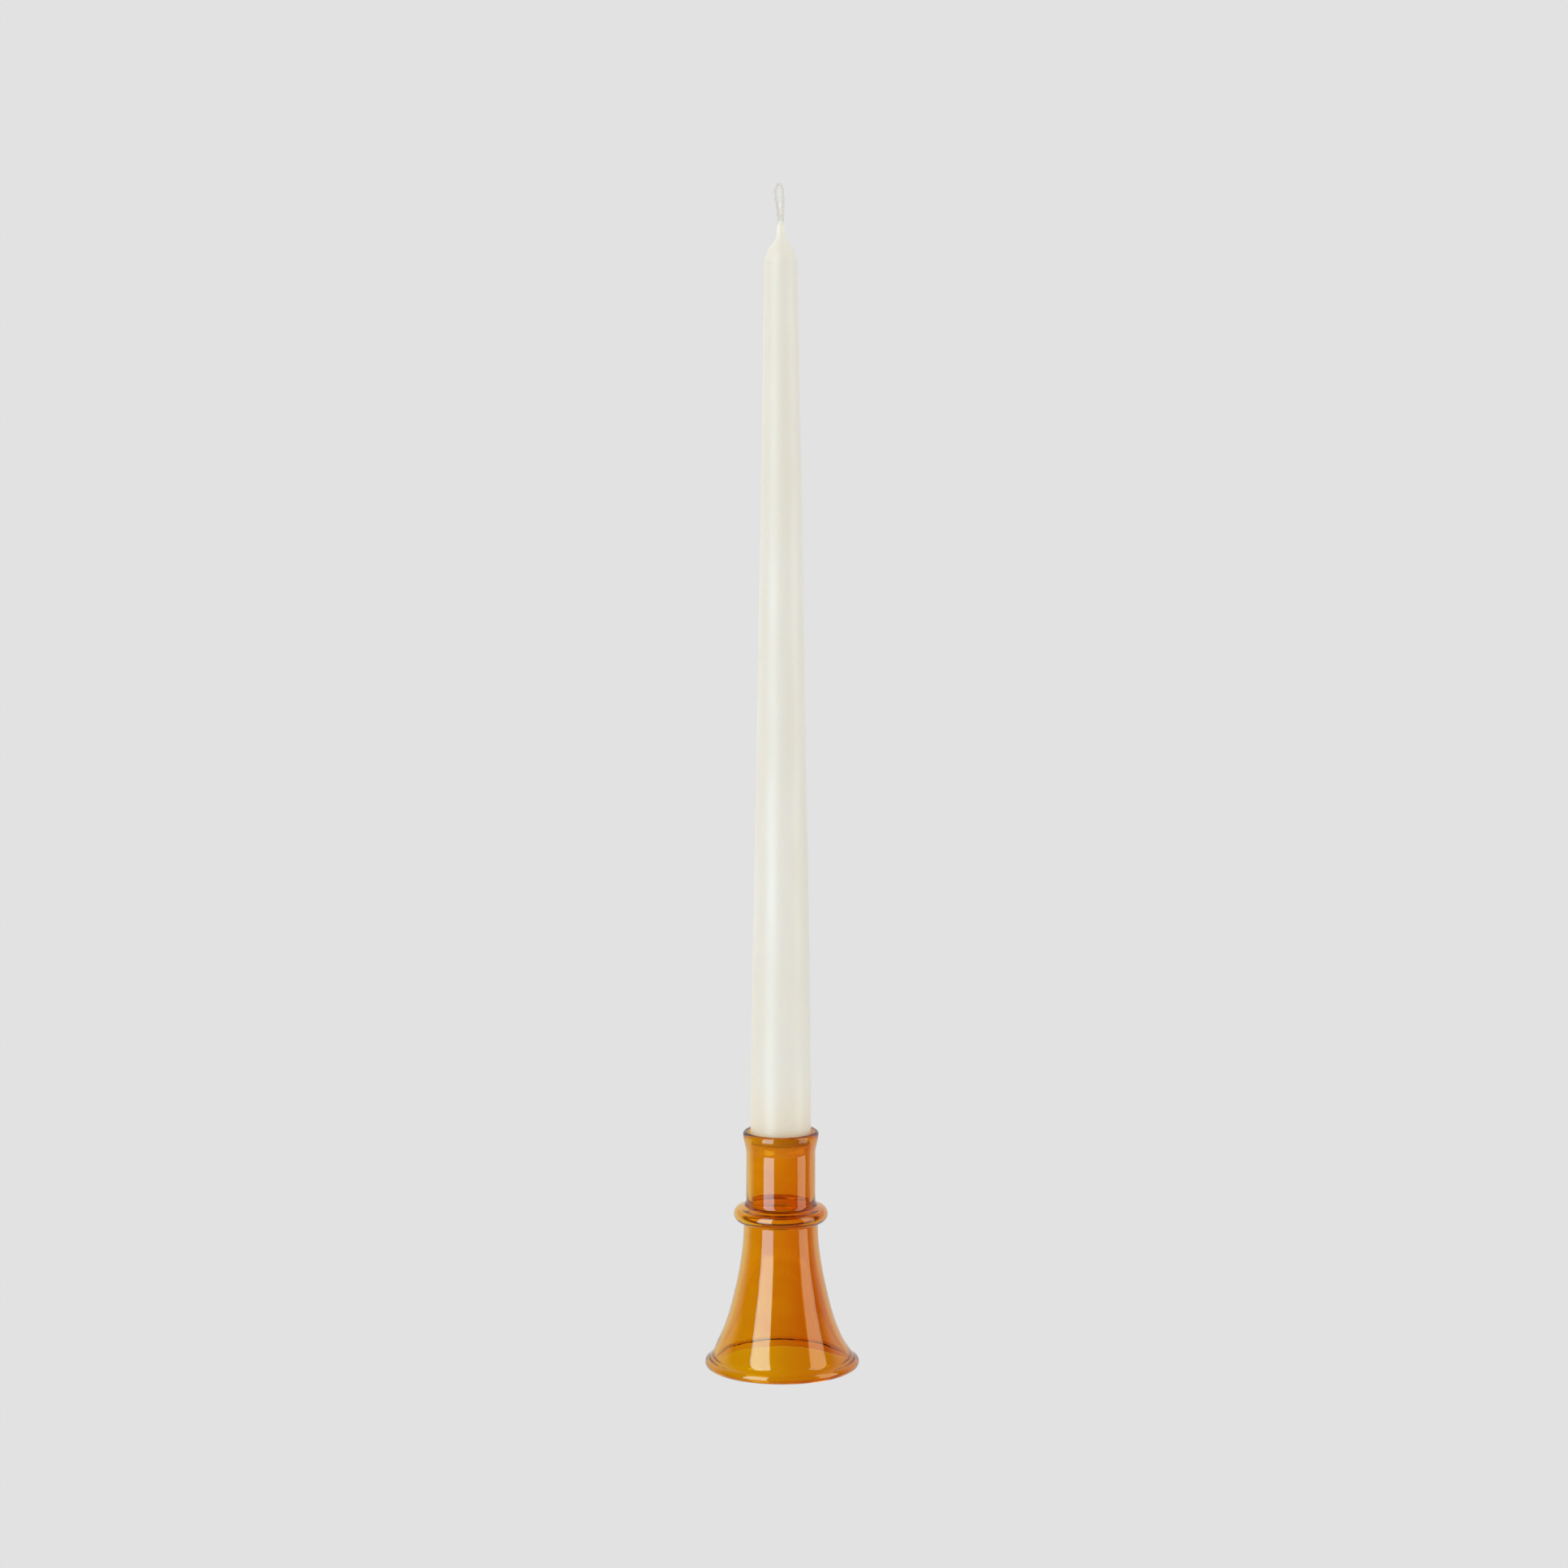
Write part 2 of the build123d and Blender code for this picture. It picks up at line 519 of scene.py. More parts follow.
@dataclass(frozen=True)
class Handwork:
    """How far a turned piece strays from a true round.

    Attributes:
        sway: Largest drift of the surface, shared by both sides of a wall.
        sway_size: Size of the drifts across the piece.
        ripple: Largest fine ripple of the surface.
        ripple_size: Size of the ripples.
        bore_shift: How far the hollow sits to -X of the outside, where a section says so.
        seed: Picks one piece of handwork out of many.
    """

    sway: float
    sway_size: float
    ripple: float
    ripple_size: float
    bore_shift: float = 0.0
    seed: float = 1.0


class Lathe:
    """Turns a half section into a closed round piece with Geometry Nodes.

    Attributes:
        CALM_RADIUS: The unevenness fades inside this radius, so that the poles close.
        LEAST_REACH: The noise is never squeezed tighter than on this radius.
    """

    CALM_RADIUS = 3 * MM
    LEAST_REACH = 4 * MM

    def __init__(self) -> None:
        """Builds the tree once."""
        self.tree = bpy.data.node_groups.new("lathe", "GeometryNodeTree")
        self.inputs = new_sockets(
            self.tree,
            "INPUT",
            {
                "Section": ("NodeSocketGeometry", None),
                "Segments": ("NodeSocketInt", 128),
                "Sway": ("NodeSocketFloat", 0.0),
                "Sway Size": ("NodeSocketFloat", 0.02),
                "Ripple": ("NodeSocketFloat", 0.0),
                "Ripple Size": ("NodeSocketFloat", 0.005),
                "Bore Shift": ("NodeSocketFloat", 0.0),
                "Seed": ("NodeSocketFloat", 1.0),
                "Material": ("NodeSocketMaterial", None),
            },
        )
        new_sockets(self.tree, "OUTPUT", {"Turned": ("NodeSocketGeometry", None)})
        self._build()

    def _build(self) -> None:
        """Lays out the tree: a straight tube whose rings are sent to the section's points."""
        canvas = NodeCanvas(self.tree)
        given = canvas.add("NodeGroupInput").outputs
        finished = canvas.add("NodeGroupOutput")

        count = canvas.add("GeometryNodeAttributeDomainSize", "points of the section", component="MESH")
        canvas.feed(count.inputs["Geometry"], given["Section"])
        rings = canvas.math("SUBTRACT", count.outputs["Point Count"], 1)
        tube = canvas.add("GeometryNodeMeshCylinder", "straight tube", fill_type="NONE")
        canvas.feed(tube.inputs["Vertices"], given["Segments"])
        canvas.feed(tube.inputs["Side Segments"], rings)
        canvas.feed(tube.inputs["Radius"], 1.0)
        canvas.feed(tube.inputs["Depth"], 1.0)

        position = canvas.add("GeometryNodeInputPosition").outputs[0]
        parts = canvas.add("ShaderNodeSeparateXYZ")
        canvas.feed(parts.inputs[0], position)
        across_x, across_y, height = parts.outputs
        ring = canvas.math("ROUND", canvas.math("MULTIPLY", canvas.math("ADD", height, 0.5), rings))

        def sampled(kind: str, value: bpy.types.NodeSocket) -> bpy.types.NodeSocket:
            """A value read off the section at this ring.

            Args:
                kind: The value's data type.
                value: What is read.

            Returns:
                The value there.
            """
            node = canvas.add("GeometryNodeSampleIndex", data_type=kind, domain="POINT")
            canvas.feed(node.inputs["Geometry"], given["Section"])
            canvas.feed(node.inputs["Value"], value)
            canvas.feed(node.inputs["Index"], ring)
            return node.outputs[0]

        place = canvas.add("ShaderNodeSeparateXYZ")
        canvas.feed(place.inputs[0], sampled("FLOAT_VECTOR", position))
        radius, level = place.outputs[0], place.outputs[2]
        traits = {}
        for trait in ("hollow", "oval", "loose", "aside"):
            named = canvas.add("GeometryNodeInputNamedAttribute", trait, data_type="FLOAT")
            canvas.feed(named.inputs["Name"], trait)
            traits[trait] = sampled("FLOAT", named.outputs[0])

        def noise(
            size: bpy.types.NodeSocket, amount: bpy.types.NodeSocket, lift: float
        ) -> bpy.types.NodeSocket:
            """Unevenness that follows the piece's own size.

            Args:
                size: Size of the bumps.
                amount: Largest height.
                lift: How much longer the bumps are along the axis.

            Returns:
                A height, to either side of zero.
            """
            spot = canvas.add("ShaderNodeCombineXYZ")
            reach = canvas.math("MAXIMUM", radius, self.LEAST_REACH)
            canvas.feed(spot.inputs[0], canvas.math("MULTIPLY", across_x, reach))
            canvas.feed(spot.inputs[1], canvas.math("MULTIPLY", across_y, reach))
            canvas.feed(spot.inputs[2], canvas.math("DIVIDE", level, lift))
            texture = canvas.add("ShaderNodeTexNoise", noise_dimensions="4D")
            canvas.feed(texture.inputs["Vector"], spot.outputs[0])
            canvas.feed(texture.inputs["W"], given["Seed"])
            canvas.feed(texture.inputs["Scale"], canvas.math("DIVIDE", 1.0, size))
            canvas.feed(texture.inputs["Detail"], 1.0)
            centred = canvas.math("SUBTRACT", texture.outputs[0], 0.5)
            return canvas.math("MULTIPLY", canvas.math("MULTIPLY", centred, 2.0), amount)

        drift = canvas.math("ADD", noise(given["Sway Size"], given["Sway"], 2.0),
                            noise(given["Ripple Size"], given["Ripple"], 1.0))
        near_axis = canvas.ramp(radius, 0.0, self.CALM_RADIUS, 0.0, 1.0)
        drift = canvas.math("MULTIPLY", canvas.math("MULTIPLY", drift, near_axis), traits["loose"])
        spread = canvas.math("ADD", radius, drift)

        shift = canvas.math("MULTIPLY", traits["hollow"], given["Bore Shift"])
        x = canvas.math("ADD", canvas.math("MULTIPLY", across_x, spread),
                        canvas.math("SUBTRACT", traits["aside"], shift))
        y = canvas.math("MULTIPLY", canvas.math("MULTIPLY", across_y, spread), traits["oval"])
        target = canvas.add("ShaderNodeCombineXYZ")
        for socket, value in zip(target.inputs, (x, y, level)):
            canvas.feed(socket, value)

        moved = canvas.add("GeometryNodeSetPosition")
        canvas.feed(moved.inputs["Geometry"], tube.outputs["Mesh"])
        canvas.feed(moved.inputs["Position"], target.outputs[0])
        closed = canvas.add("GeometryNodeMergeByDistance", "close the poles")
        canvas.feed(closed.inputs["Geometry"], moved.outputs[0])
        canvas.feed(closed.inputs["Distance"], 0.001 * MM)
        canvas.dress(closed.outputs[0], given["Material"], finished)

    def turn(self, name: str, section: list[Point2], traits: dict[str, list[float]], segments: int,
             handwork: Handwork, material: bpy.types.Material) -> bpy.types.Object:
        """Turns one piece.

        Args:
            name: The piece's name.
            section: Its half section, from one end of the axis to the other, material on the left.
            traits: Values at each point of the section: hollow, oval, loose, and aside in metres to +X.
            segments: Steps around the axis.
            handwork: How uneven it is.
            material: Its finish.

        Returns:
            A plain mesh object.
        """
        mesh = bpy.data.meshes.new(name + "_section")
        edges = [(i, i + 1) for i in range(len(section) - 1)]
        mesh.from_pydata([(r, 0.0, z) for r, z in section], edges, [])
        for trait, values in traits.items():
            mesh.attributes.new(trait, "FLOAT", "POINT").data.foreach_set("value", values)
        settings = {
            "Segments": segments,
            "Sway": handwork.sway,
            "Sway Size": handwork.sway_size,
            "Ripple": handwork.ripple,
            "Ripple Size": handwork.ripple_size,
            "Bore Shift": handwork.bore_shift,
            "Seed": handwork.seed,
            "Material": material,
        }
        return grown(place_object(name, mesh), self.tree, self.inputs, settings)


# ------------------------------------------------------------------------------ finishes


class Unevenness:
    """A shader group for what no handmade surface lacks: soft patches and fine relief."""

    def __init__(self) -> None:
        """Builds the group once."""
        self.tree = bpy.data.node_groups.new("unevenness", "ShaderNodeTree")
        new_sockets(
            self.tree,
            "INPUT",
            {
                "Patch Size": ("NodeSocketFloat", 0.02),
                "Relief Size": ("NodeSocketFloat", 0.003),
                "Stretch": ("NodeSocketFloat", 1.0),
                "Low": ("NodeSocketFloat", 0.0),
                "High": ("NodeSocketFloat", 1.0),
            },
        )
        new_sockets(
            self.tree,
            "OUTPUT",
            {
                "Patches": ("NodeSocketFloat", None),
                "Level": ("NodeSocketFloat", None),
                "Relief": ("NodeSocketFloat", None),
            },
        )
        canvas = NodeCanvas(self.tree)
        given = canvas.add("NodeGroupInput").outputs
        finished = canvas.add("NodeGroupOutput")
        place = canvas.add("ShaderNodeTexCoord").outputs["Object"]
        squeeze = canvas.add("ShaderNodeCombineXYZ")
        canvas.feed(squeeze.inputs[0], 1.0)
        canvas.feed(squeeze.inputs[1], 1.0)
        canvas.feed(squeeze.inputs[2], canvas.math("DIVIDE", 1.0, given["Stretch"]))
        scaled = canvas.add("ShaderNodeVectorMath", operation="MULTIPLY")
        canvas.feed(scaled.inputs[0], place)
        canvas.feed(scaled.inputs[1], squeeze.outputs[0])

        def texture(size: bpy.types.NodeSocket, detail: float) -> bpy.types.NodeSocket:
            """Noise of a given size.

            Args:
                size: Size of its features.
                detail: Octaves.

            Returns:
                A value round one half.
            """
            node = canvas.add("ShaderNodeTexNoise")
            canvas.feed(node.inputs["Vector"], scaled.outputs[0])
            canvas.feed(node.inputs["Scale"], canvas.math("DIVIDE", 1.0, size))
            canvas.feed(node.inputs["Detail"], detail)
            return node.outputs[0]

        patches = canvas.ramp(texture(given["Patch Size"], 2.0), 0.32, 0.68, 0.0, 1.0)
        level = canvas.add("ShaderNodeMapRange")
        canvas.feed(level.inputs["Value"], patches)
        canvas.feed(level.inputs["To Min"], given["Low"])
        canvas.feed(level.inputs["To Max"], given["High"])
        canvas.feed(finished.inputs["Patches"], patches)
        canvas.feed(finished.inputs["Level"], level.outputs[0])
        canvas.feed(finished.inputs["Relief"], texture(given["Relief Size"], 3.0))

    def place(self, canvas: NodeCanvas, patch_size: float, relief_size: float, stretch: float,
              low: float, high: float) -> bpy.types.Node:
        """Puts the group in a material.

        Args:
            canvas: The material's tree.
            patch_size: Size of the patches.
            relief_size: Size of the fine relief.
            stretch: How far both are stretched upwards.
            low: Least value of the patches.
            high: Greatest value of the patches.

        Returns:
            The group node.
        """
        node = canvas.add("ShaderNodeGroup", node_tree=self.tree)
        values = {
            "Patch Size": patch_size,
            "Relief Size": relief_size,
            "Stretch": stretch,
            "Low": low,
            "High": high,
        }
        for name, value in values.items():
            node.inputs[name].default_value = value
        return node


def blank_material(name: str) -> tuple[bpy.types.Material, NodeCanvas, bpy.types.Node, bpy.types.Node]:
    """A material with only its shader and output.

    Args:
        name: The material's name.

    Returns:
        The material, its canvas, its Principled shader and its output node.
    """
    material = bpy.data.materials.new(name)
    material.use_nodes = True
    nodes = material.node_tree.nodes
    return material, NodeCanvas(material.node_tree), nodes["Principled BSDF"], nodes["Material Output"]


@dataclass(frozen=True)
class AmberGlass:
    """Amber glass: a tinted skin, a little deeper to +X, over faintly tinted clear glass.

    The deeper tint to +X is painted shade, and the paler tint to -X is painted light.

    Attributes:
        painted_lit_side_tint: What the skins of one wall leave of white light at the -X side, paler there as
            painted light.
        painted_shade_side_tint: What they leave at the +X side, deeper there as painted shade.
        depth_colour: What the glass between the skins leaves.
        depth_density: How fast it takes the rest, per metre.
        reach: Distance from the axis at which each side's tint is full.
        patchiness: How far the tint strays towards the other side's in patches.
        ior: Index of refraction.
        haze: Roughness between the clearest and the dullest patches.
        relief: Depth of the draw lines.
        grain: Size of the patches, size of the relief, and how far both are stretched upwards.
    """

    painted_lit_side_tint: tuple[float, float, float] = (0.98, 0.65, 0.06)
    painted_shade_side_tint: tuple[float, float, float] = (0.865, 0.41, 0.06)
    depth_colour: tuple[float, float, float] = (0.93, 0.787, 0.03)
    depth_density: float = 310.0
    reach: float = 12.0 * MM
    patchiness: float = 0.12
    ior: float = 1.5
    haze: tuple[float, float] = (0.0, 0.02)
    relief: float = 0.02 * MM
    grain: tuple[float, float, float] = (18 * MM, 6 * MM, 0.6)

    def make(self, unevenness: Unevenness) -> bpy.types.Material:
        """Builds the material.

        Args:
            unevenness: The shared group.

        Returns:
            The material.
        """
        material, canvas, shader, output = blank_material("amber_glass")
        grain = unevenness.place(canvas, *self.grain, *self.haze)
        place = canvas.add("ShaderNodeSeparateXYZ")
        canvas.feed(place.inputs[0], canvas.add("ShaderNodeTexCoord").outputs["Object"])
        # painted shade and light: the skin's tint deepens from -X to +X, as if light fell from the -X side
        side = canvas.ramp(place.outputs[0], -self.reach, self.reach, 0.0, 1.0, smooth=False)
        stray = canvas.ramp(grain.outputs["Patches"], 0.0, 1.0, -self.patchiness, self.patchiness)
        tint = canvas.blend((*self.painted_lit_side_tint, 1.0), (*self.painted_shade_side_tint, 1.0), canvas.math("ADD", side, stray))
        canvas.feed(shader.inputs["Base Color"], tint)
        shader.inputs["IOR"].default_value = self.ior
        shader.inputs["Transmission Weight"].default_value = 1.0
        canvas.feed(shader.inputs["Roughness"], grain.outputs["Level"])
        canvas.feed(shader.inputs["Normal"], canvas.bump(grain.outputs["Relief"], self.relief))
        depth = canvas.add("ShaderNodeVolumeAbsorption", "amber of the glass itself")
        depth.inputs["Color"].default_value = (*self.depth_colour, 1.0)
        depth.inputs["Density"].default_value = self.depth_density
        canvas.feed(output.inputs["Volume"], depth.outputs[0])
        return material


@dataclass(frozen=True)
class IvoryWax:
    """Dipped candle wax: soft, faintly glossy, and lit a little way in.

    Attributes:
        pale: Its lightest tint.
        deep: Its warmest tint, in the patches.
        foot: Painted amber light near the base, standing in for the light that the amber mouth throws on the
            wax.
        gloss: Roughness between its smooth and its dull patches.
        depth: How far light wanders in it.
        relief: Depth of the fine relief.
        grain: Size of the patches, size of the relief, and how far both are stretched upwards.
        painted_light_height: How far up the painted amber light near the base fades out.
    """

    pale: tuple[float, float, float] = (0.805, 0.79, 0.725)
    deep: tuple[float, float, float] = (0.77, 0.745, 0.66)
    foot: tuple[float, float, float] = (0.80, 0.73, 0.59)
    gloss: tuple[float, float] = (0.38, 0.52)
    depth: float = 2.0 * MM
    relief: float = 0.05 * MM
    grain: tuple[float, float, float] = (14 * MM, 2.5 * MM, 5.0)
    painted_light_height: float = 30 * MM

    def make(self, unevenness: Unevenness, base: float) -> bpy.types.Material:
        """Builds the material.

        Args:
            unevenness: The shared group.
            base: Level of the candle's lower end.

        Returns:
            The material.
        """
        material, canvas, shader, _ = blank_material("ivory_wax")
        grain = unevenness.place(canvas, *self.grain, *self.gloss)
        tint = canvas.blend((*self.pale, 1.0), (*self.deep, 1.0), grain.outputs["Patches"])
        place = canvas.add("ShaderNodeSeparateXYZ")
        canvas.feed(place.inputs[0], canvas.add("ShaderNodeTexCoord").outputs["Object"])
        # painted light: amber light from the glass mouth, painted on the wax near its base and fading upwards
        painted_amber_light = canvas.ramp(place.outputs[2], base, base + self.painted_light_height, 1.0, 0.0)
        tint = canvas.blend(tint, (*self.foot, 1.0), painted_amber_light)
        canvas.feed(shader.inputs["Base Color"], tint)
        canvas.feed(shader.inputs["Roughness"], grain.outputs["Level"])
        canvas.feed(shader.inputs["Normal"], canvas.bump(grain.outputs["Relief"], self.relief, 0.5))
        shader.inputs["IOR"].default_value = 1.44
        shader.inputs["Subsurface Weight"].default_value = 0.7
        shader.inputs["Subsurface Radius"].default_value = (1.0, 0.8, 0.55)
        shader.inputs["Subsurface Scale"].default_value = self.depth
        return material


@dataclass(frozen=True)
class WaxedCotton:
    """Bleached cotton plies, stiff with wax.

    Attributes:
        pale: Colour of the plies' crowns.
        deep: Colour in the creases between fibres, where it is painted shade.
        twist: Length of one turn of a ply's yarn.
        relief: Depth of the fibres.
        grain: Size of the patches, size of the relief, and how far both are stretched upwards.
        gloss: Roughness between its smooth and its dull patches.
    """

    pale: tuple[float, float, float] = (0.84, 0.82, 0.77)
    deep: tuple[float, float, float] = (0.74, 0.70, 0.64)
    twist: float = 0.9 * MM
    relief: float = 0.04 * MM
    grain: tuple[float, float, float] = (4 * MM, 0.4 * MM, 2.0)
    gloss: tuple[float, float] = (0.45, 0.75)

    def make(self, unevenness: Unevenness) -> bpy.types.Material:
        """Builds the material.

        Args:
            unevenness: The shared group.

        Returns:
            The material.
        """
        material, canvas, shader, _ = blank_material("cotton_wick")
        grain = unevenness.place(canvas, *self.grain, *self.gloss)
        along = canvas.add("ShaderNodeAttribute", attribute_name="along").outputs["Fac"]
        around = canvas.add("ShaderNodeAttribute", attribute_name="around").outputs["Fac"]
        turns = canvas.math(
            "ADD", canvas.math("DIVIDE", along, self.twist), canvas.math("MULTIPLY", around, 3.0)
        )
        fibres = canvas.math("SINE", canvas.math("MULTIPLY", turns, 2 * math.pi))
        crown = canvas.ramp(fibres, -1.0, 1.0, 0.0, 1.0)
        # painted shade: the creases between the fibres take the darker colour, and the patches add tone at
        # random
        share = canvas.math("MULTIPLY", canvas.math("SUBTRACT", 1.0, crown), 0.5)
        share = canvas.math("ADD", share, canvas.math("MULTIPLY", grain.outputs["Patches"], 0.3))
        fuzz = canvas.math("ADD", crown, grain.outputs["Relief"])
        canvas.feed(shader.inputs["Base Color"], canvas.blend((*self.pale, 1.0), (*self.deep, 1.0), share))
        canvas.feed(shader.inputs["Roughness"], grain.outputs["Level"])
        canvas.feed(shader.inputs["Normal"], canvas.bump(fuzz, self.relief))
        shader.inputs["Subsurface Weight"].default_value = 0.2
        shader.inputs["Subsurface Radius"].default_value = (1.0, 0.8, 0.6)
        shader.inputs["Subsurface Scale"].default_value = 0.3 * MM
        return material


# ------------------------------------------------------------------------------ the glass


@dataclass
class GlassHolder:
    """The blown and joined glass: floor, bell foot, collar ring and flared socket in one wall.

    Attributes:
        wall: Thickness of the wall.
        foot_roll: Radius of the rolled rim.
        foot_aside: How far the rolled rim sits to +X of the axis.
        collar_roll: Outside radius of the collar's round.
        collar_wall: Thickness of the collar's wall.
        collar_top_blend: Hollow curve between the collar and the socket.
        collar_crease: Small curve between the collar and the neck.
        floor_rise: From the collar's widest line up to the socket's floor.
        floor_thickness: Thickness of the floor.
        floor_blend: Inside rounding of the socket's closed end.
        neck_blend: Rounding between the collar's hollow and the neck.
        lip_thickness: Thickness of the polished lip.
        lip_swell: How far its thickening reaches down the outside.
        flare_height: Height of the widening mouth.
        rim_slope: Degrees from upright where the bell runs into the rolled rim.
        rim_joint: Where the inside wall meets the rolled rim, in degrees round the rim's middle.
        bell_outline: Shares of the bell's drop and of its spread.
        segments: Steps around the axis.
        handwork: How uneven it is.
    """

    wall: float = 1.75 * MM
    foot_roll: float = 1.8 * MM
    foot_aside: float = 0.5 * MM
    collar_roll: float = 2.85 * MM
    collar_wall: float = 1.4 * MM
    collar_top_blend: float = 2.6 * MM
    collar_crease: float = 0.7 * MM
    floor_rise: float = 2.1 * MM
    floor_thickness: float = 1.75 * MM
    floor_blend: float = 2.0 * MM
    neck_blend: float = 0.7 * MM
    lip_thickness: float = 2.3 * MM
    lip_swell: float = 8.6 * MM
    flare_height: float = 5.0 * MM
    rim_slope: float = 60.0
    rim_joint: float = 195.0
    bell_outline: tuple[Point2, ...] = ((0.27, 0.081), (0.516, 0.257), (0.75, 0.498), (0.93, 0.795))
    segments: int = 176
    handwork: Handwork = field(
        default_factory=lambda: Handwork(
            sway=0.10 * MM,
            sway_size=30 * MM,
            ripple=0.02 * MM,
            ripple_size=7 * MM,
            bore_shift=0.2 * MM,
            seed=4.0,
        )
    )

    def section(self) -> tuple[list[Point2], dict[str, list[float]]]:
        """The half section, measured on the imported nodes.

        Returns:
            The section from the floor's underside round the wall to its top, and its traits.
        """
        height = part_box(Node.SOCKET_TUBE.value)[1].z
        lip_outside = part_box(Node.SOCKET_TUBE.value)[1].x
        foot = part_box(Node.BELL_FOOT.value)[1].x
        foot_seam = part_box(Node.BELL_FOOT.value)[1].z
        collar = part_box(Node.COLLAR_RING.value)[1].x
        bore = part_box(Node.SOCKET_FLOOR.value)[1].x - self.wall
        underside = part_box(Node.SOCKET_FLOOR.value)[0].z
        top = underside + self.floor_thickness

        ring = (collar - self.collar_roll, top - self.floor_rise)
        tube = bore + self.wall
        neck = foot_seam_radius()
        mouth = lip_outside - self.lip_thickness
        lip_round = self.lip_thickness / 2
        lip_level = height - lip_round
        flare_start = height - self.flare_height

        # inside: round the closed end, over and round the collar's hollow, down the neck and the bell
        crease = self.round_between(neck, ring, self.collar_crease, -1)
        blend = self.round_between(tube, ring, self.collar_top_blend, 1)
        seal_middle = (tube + self.collar_top_blend, blend[-1][1])
        seal_round = self.collar_top_blend + self.collar_wall
        upturn = (bore - self.floor_blend, top + self.floor_blend)
        end_round = self.floor_blend + self.floor_thickness
        notch = lower_crossing(upturn, end_round, seal_middle, seal_round)
        to_ring = bearing(seal_middle, ring)
        hollow_radius = self.collar_roll - self.collar_wall
        under = line((0.0, underside), (upturn[0], underside), 8)
        closed_end = arc(upturn, end_round, -90, bearing(upturn, notch) - 360, 12)
        seal = arc(seal_middle, seal_round, bearing(seal_middle, notch), to_ring, 12)
        hollow = arc(ring, hollow_radius, to_ring - 180, -90, 18)
        neck_bore = neck - self.wall
        corner_middle = (neck_bore + self.neck_blend, ring[1] - hollow_radius - self.neck_blend)
        corner = arc(corner_middle, self.neck_blend, 90, 180, 8)
        slope = math.radians(self.rim_slope)
        roll = (foot - self.foot_roll, self.foot_roll)
        meeting = (roll[0] + self.foot_roll * math.cos(slope), roll[1] + self.foot_roll * math.sin(slope))
        drop, spread = foot_seam - meeting[1], meeting[0] - neck
        knots = [(neck, foot_seam)]
        knots += [(neck + out * spread, foot_seam - down * drop) for down, out in self.bell_outline]
        knots += [meeting]
        bell = spline(knots, (0.0, -1.0), (math.sin(slope), -math.cos(slope)), 56)
        # the inside wall stops short of the rim, which leaves room for the bend onto it
        bell_inside = offset(bell, -self.wall)[:-3]
        throat = line(corner[-1], bell_inside[0], 4)

        # the rolled rim, which the inside wall runs into softly
        rim_back = arc(roll, self.foot_roll, self.rim_joint, self.rim_slope + 360, 36)
        last, before = np.array(bell_inside[-1]), np.array(bell_inside[-2])
        leaving = tuple((last - before) / np.linalg.norm(last - before))
        joint = math.radians(self.rim_joint)
        onto_roll = bend(bell_inside[-1], leaving, rim_back[0], (-math.sin(joint), math.cos(joint)), 6)

        # outside: up the bell, over the collar, up the socket and over the lip
        neck_line = line((neck, foot_seam), crease[0], 2)
        from_crease = bearing(ring, crease[-1]) - 360
        over_ring = arc(ring, self.collar_roll, from_crease, bearing(ring, blend[0]), 28)
        swell_start = height - self.lip_swell
        socket = line(blend[-1], (tube, swell_start), 6)
        mouth_out = bend((tube, swell_start), (0.0, 1.0), (lip_outside, lip_level), (0.0, 1.0), 14)
        lip = arc((mouth + lip_round, lip_level), lip_round, 0, 180, 18)
        rise = lip_level - flare_start
        gain = mouth - bore
        radius = (rise**2 + gain**2) / (2 * gain)
        turn = math.degrees(math.asin(rise / radius))
        mouth_in = arc((bore + radius, flare_start), radius, 180 - turn, 180, 12)
        bore_wall = line((bore, flare_start), (bore, upturn[1]), 6)
        edge = arc(upturn, self.floor_blend, 0, -90, 8)
        floor = line((upturn[0], top), (0.0, top), 6)

        section = joined(
            under, closed_end, seal, hollow, corner, throat, bell_inside, onto_roll, rim_back,
            bell[::-1], neck_line,
            crease, over_ring, blend, socket, mouth_out, lip, mouth_in, bore_wall, edge, floor,
        )
        section = [(r, max(z, 0.0)) for r, z in section]
        inside_points = set(bore_wall)
        traits = {
            "hollow": [
                self.hollow_share(point, point in inside_points, upturn[1], flare_start) for point in section
            ],
            "oval": [1.0] * len(section),
            "loose": [self.looseness(point, bore, flare_start) for point in section],
            "aside": [self.rim_shift(point) for point in section],
        }
        return section, traits

    def round_between(self, upright: float, ring: Point2, radius: float, side: int) -> list[Point2]:
        """The hollow curve that leads from an upright wall onto the collar's round, or off it.

        Args:
            upright: Radius of the wall's outside.
            ring: Middle of the collar's round.
            radius: Radius of the curve.
            side: 1 above the collar, -1 below it.

        Returns:
            Points from the lower end to the upper one.
        """
        reach = self.collar_roll + radius
        level = ring[1] + side * math.sqrt(reach**2 - (upright + radius - ring[0]) ** 2)
        middle = (upright + radius, level)
        points = arc(middle, radius, bearing(middle, ring), 180, 10)
        return points if side > 0 else points[::-1]

    def rim_shift(self, point: Point2) -> float:
        """How far a point sits to +X, because the rim was not rolled quite true.

        Args:
            point: The point.

        Returns:
            All of foot_aside up to the rim's top, none from three times that height up.
        """
        return self.foot_aside * eased(point[1], 6 * self.foot_roll, 2 * self.foot_roll)

    @staticmethod
    def hollow_share(point: Point2, on_bore: bool, low: float, high: float) -> float:
        """How far a point of the bore takes part in the bore's shift.

        Args:
            point: The point.
            on_bore: Whether it is on the straight bore.
            low: Where the bore starts.
            high: Where it ends.

        Returns:
            0 at both ends of the bore, 1 at its middle.
        """
        if not on_bore:
            return 0.0
        return math.sin(math.pi * share_between(point[1], low, high))

    @staticmethod
    def looseness(point: Point2, bore: float, flare_start: float) -> float:
        """How much handwork a point may show.

        Args:
            point: The point.
            bore: Radius of the bore.
            flare_start: Level where the mouth starts to widen.

        Returns:
            Less in the mouth, so that the candle's seat stays clear.
        """
        in_mouth = point[1] > flare_start and point[0] < bore + 1.0 * MM
        return 0.3 if in_mouth else 1.0

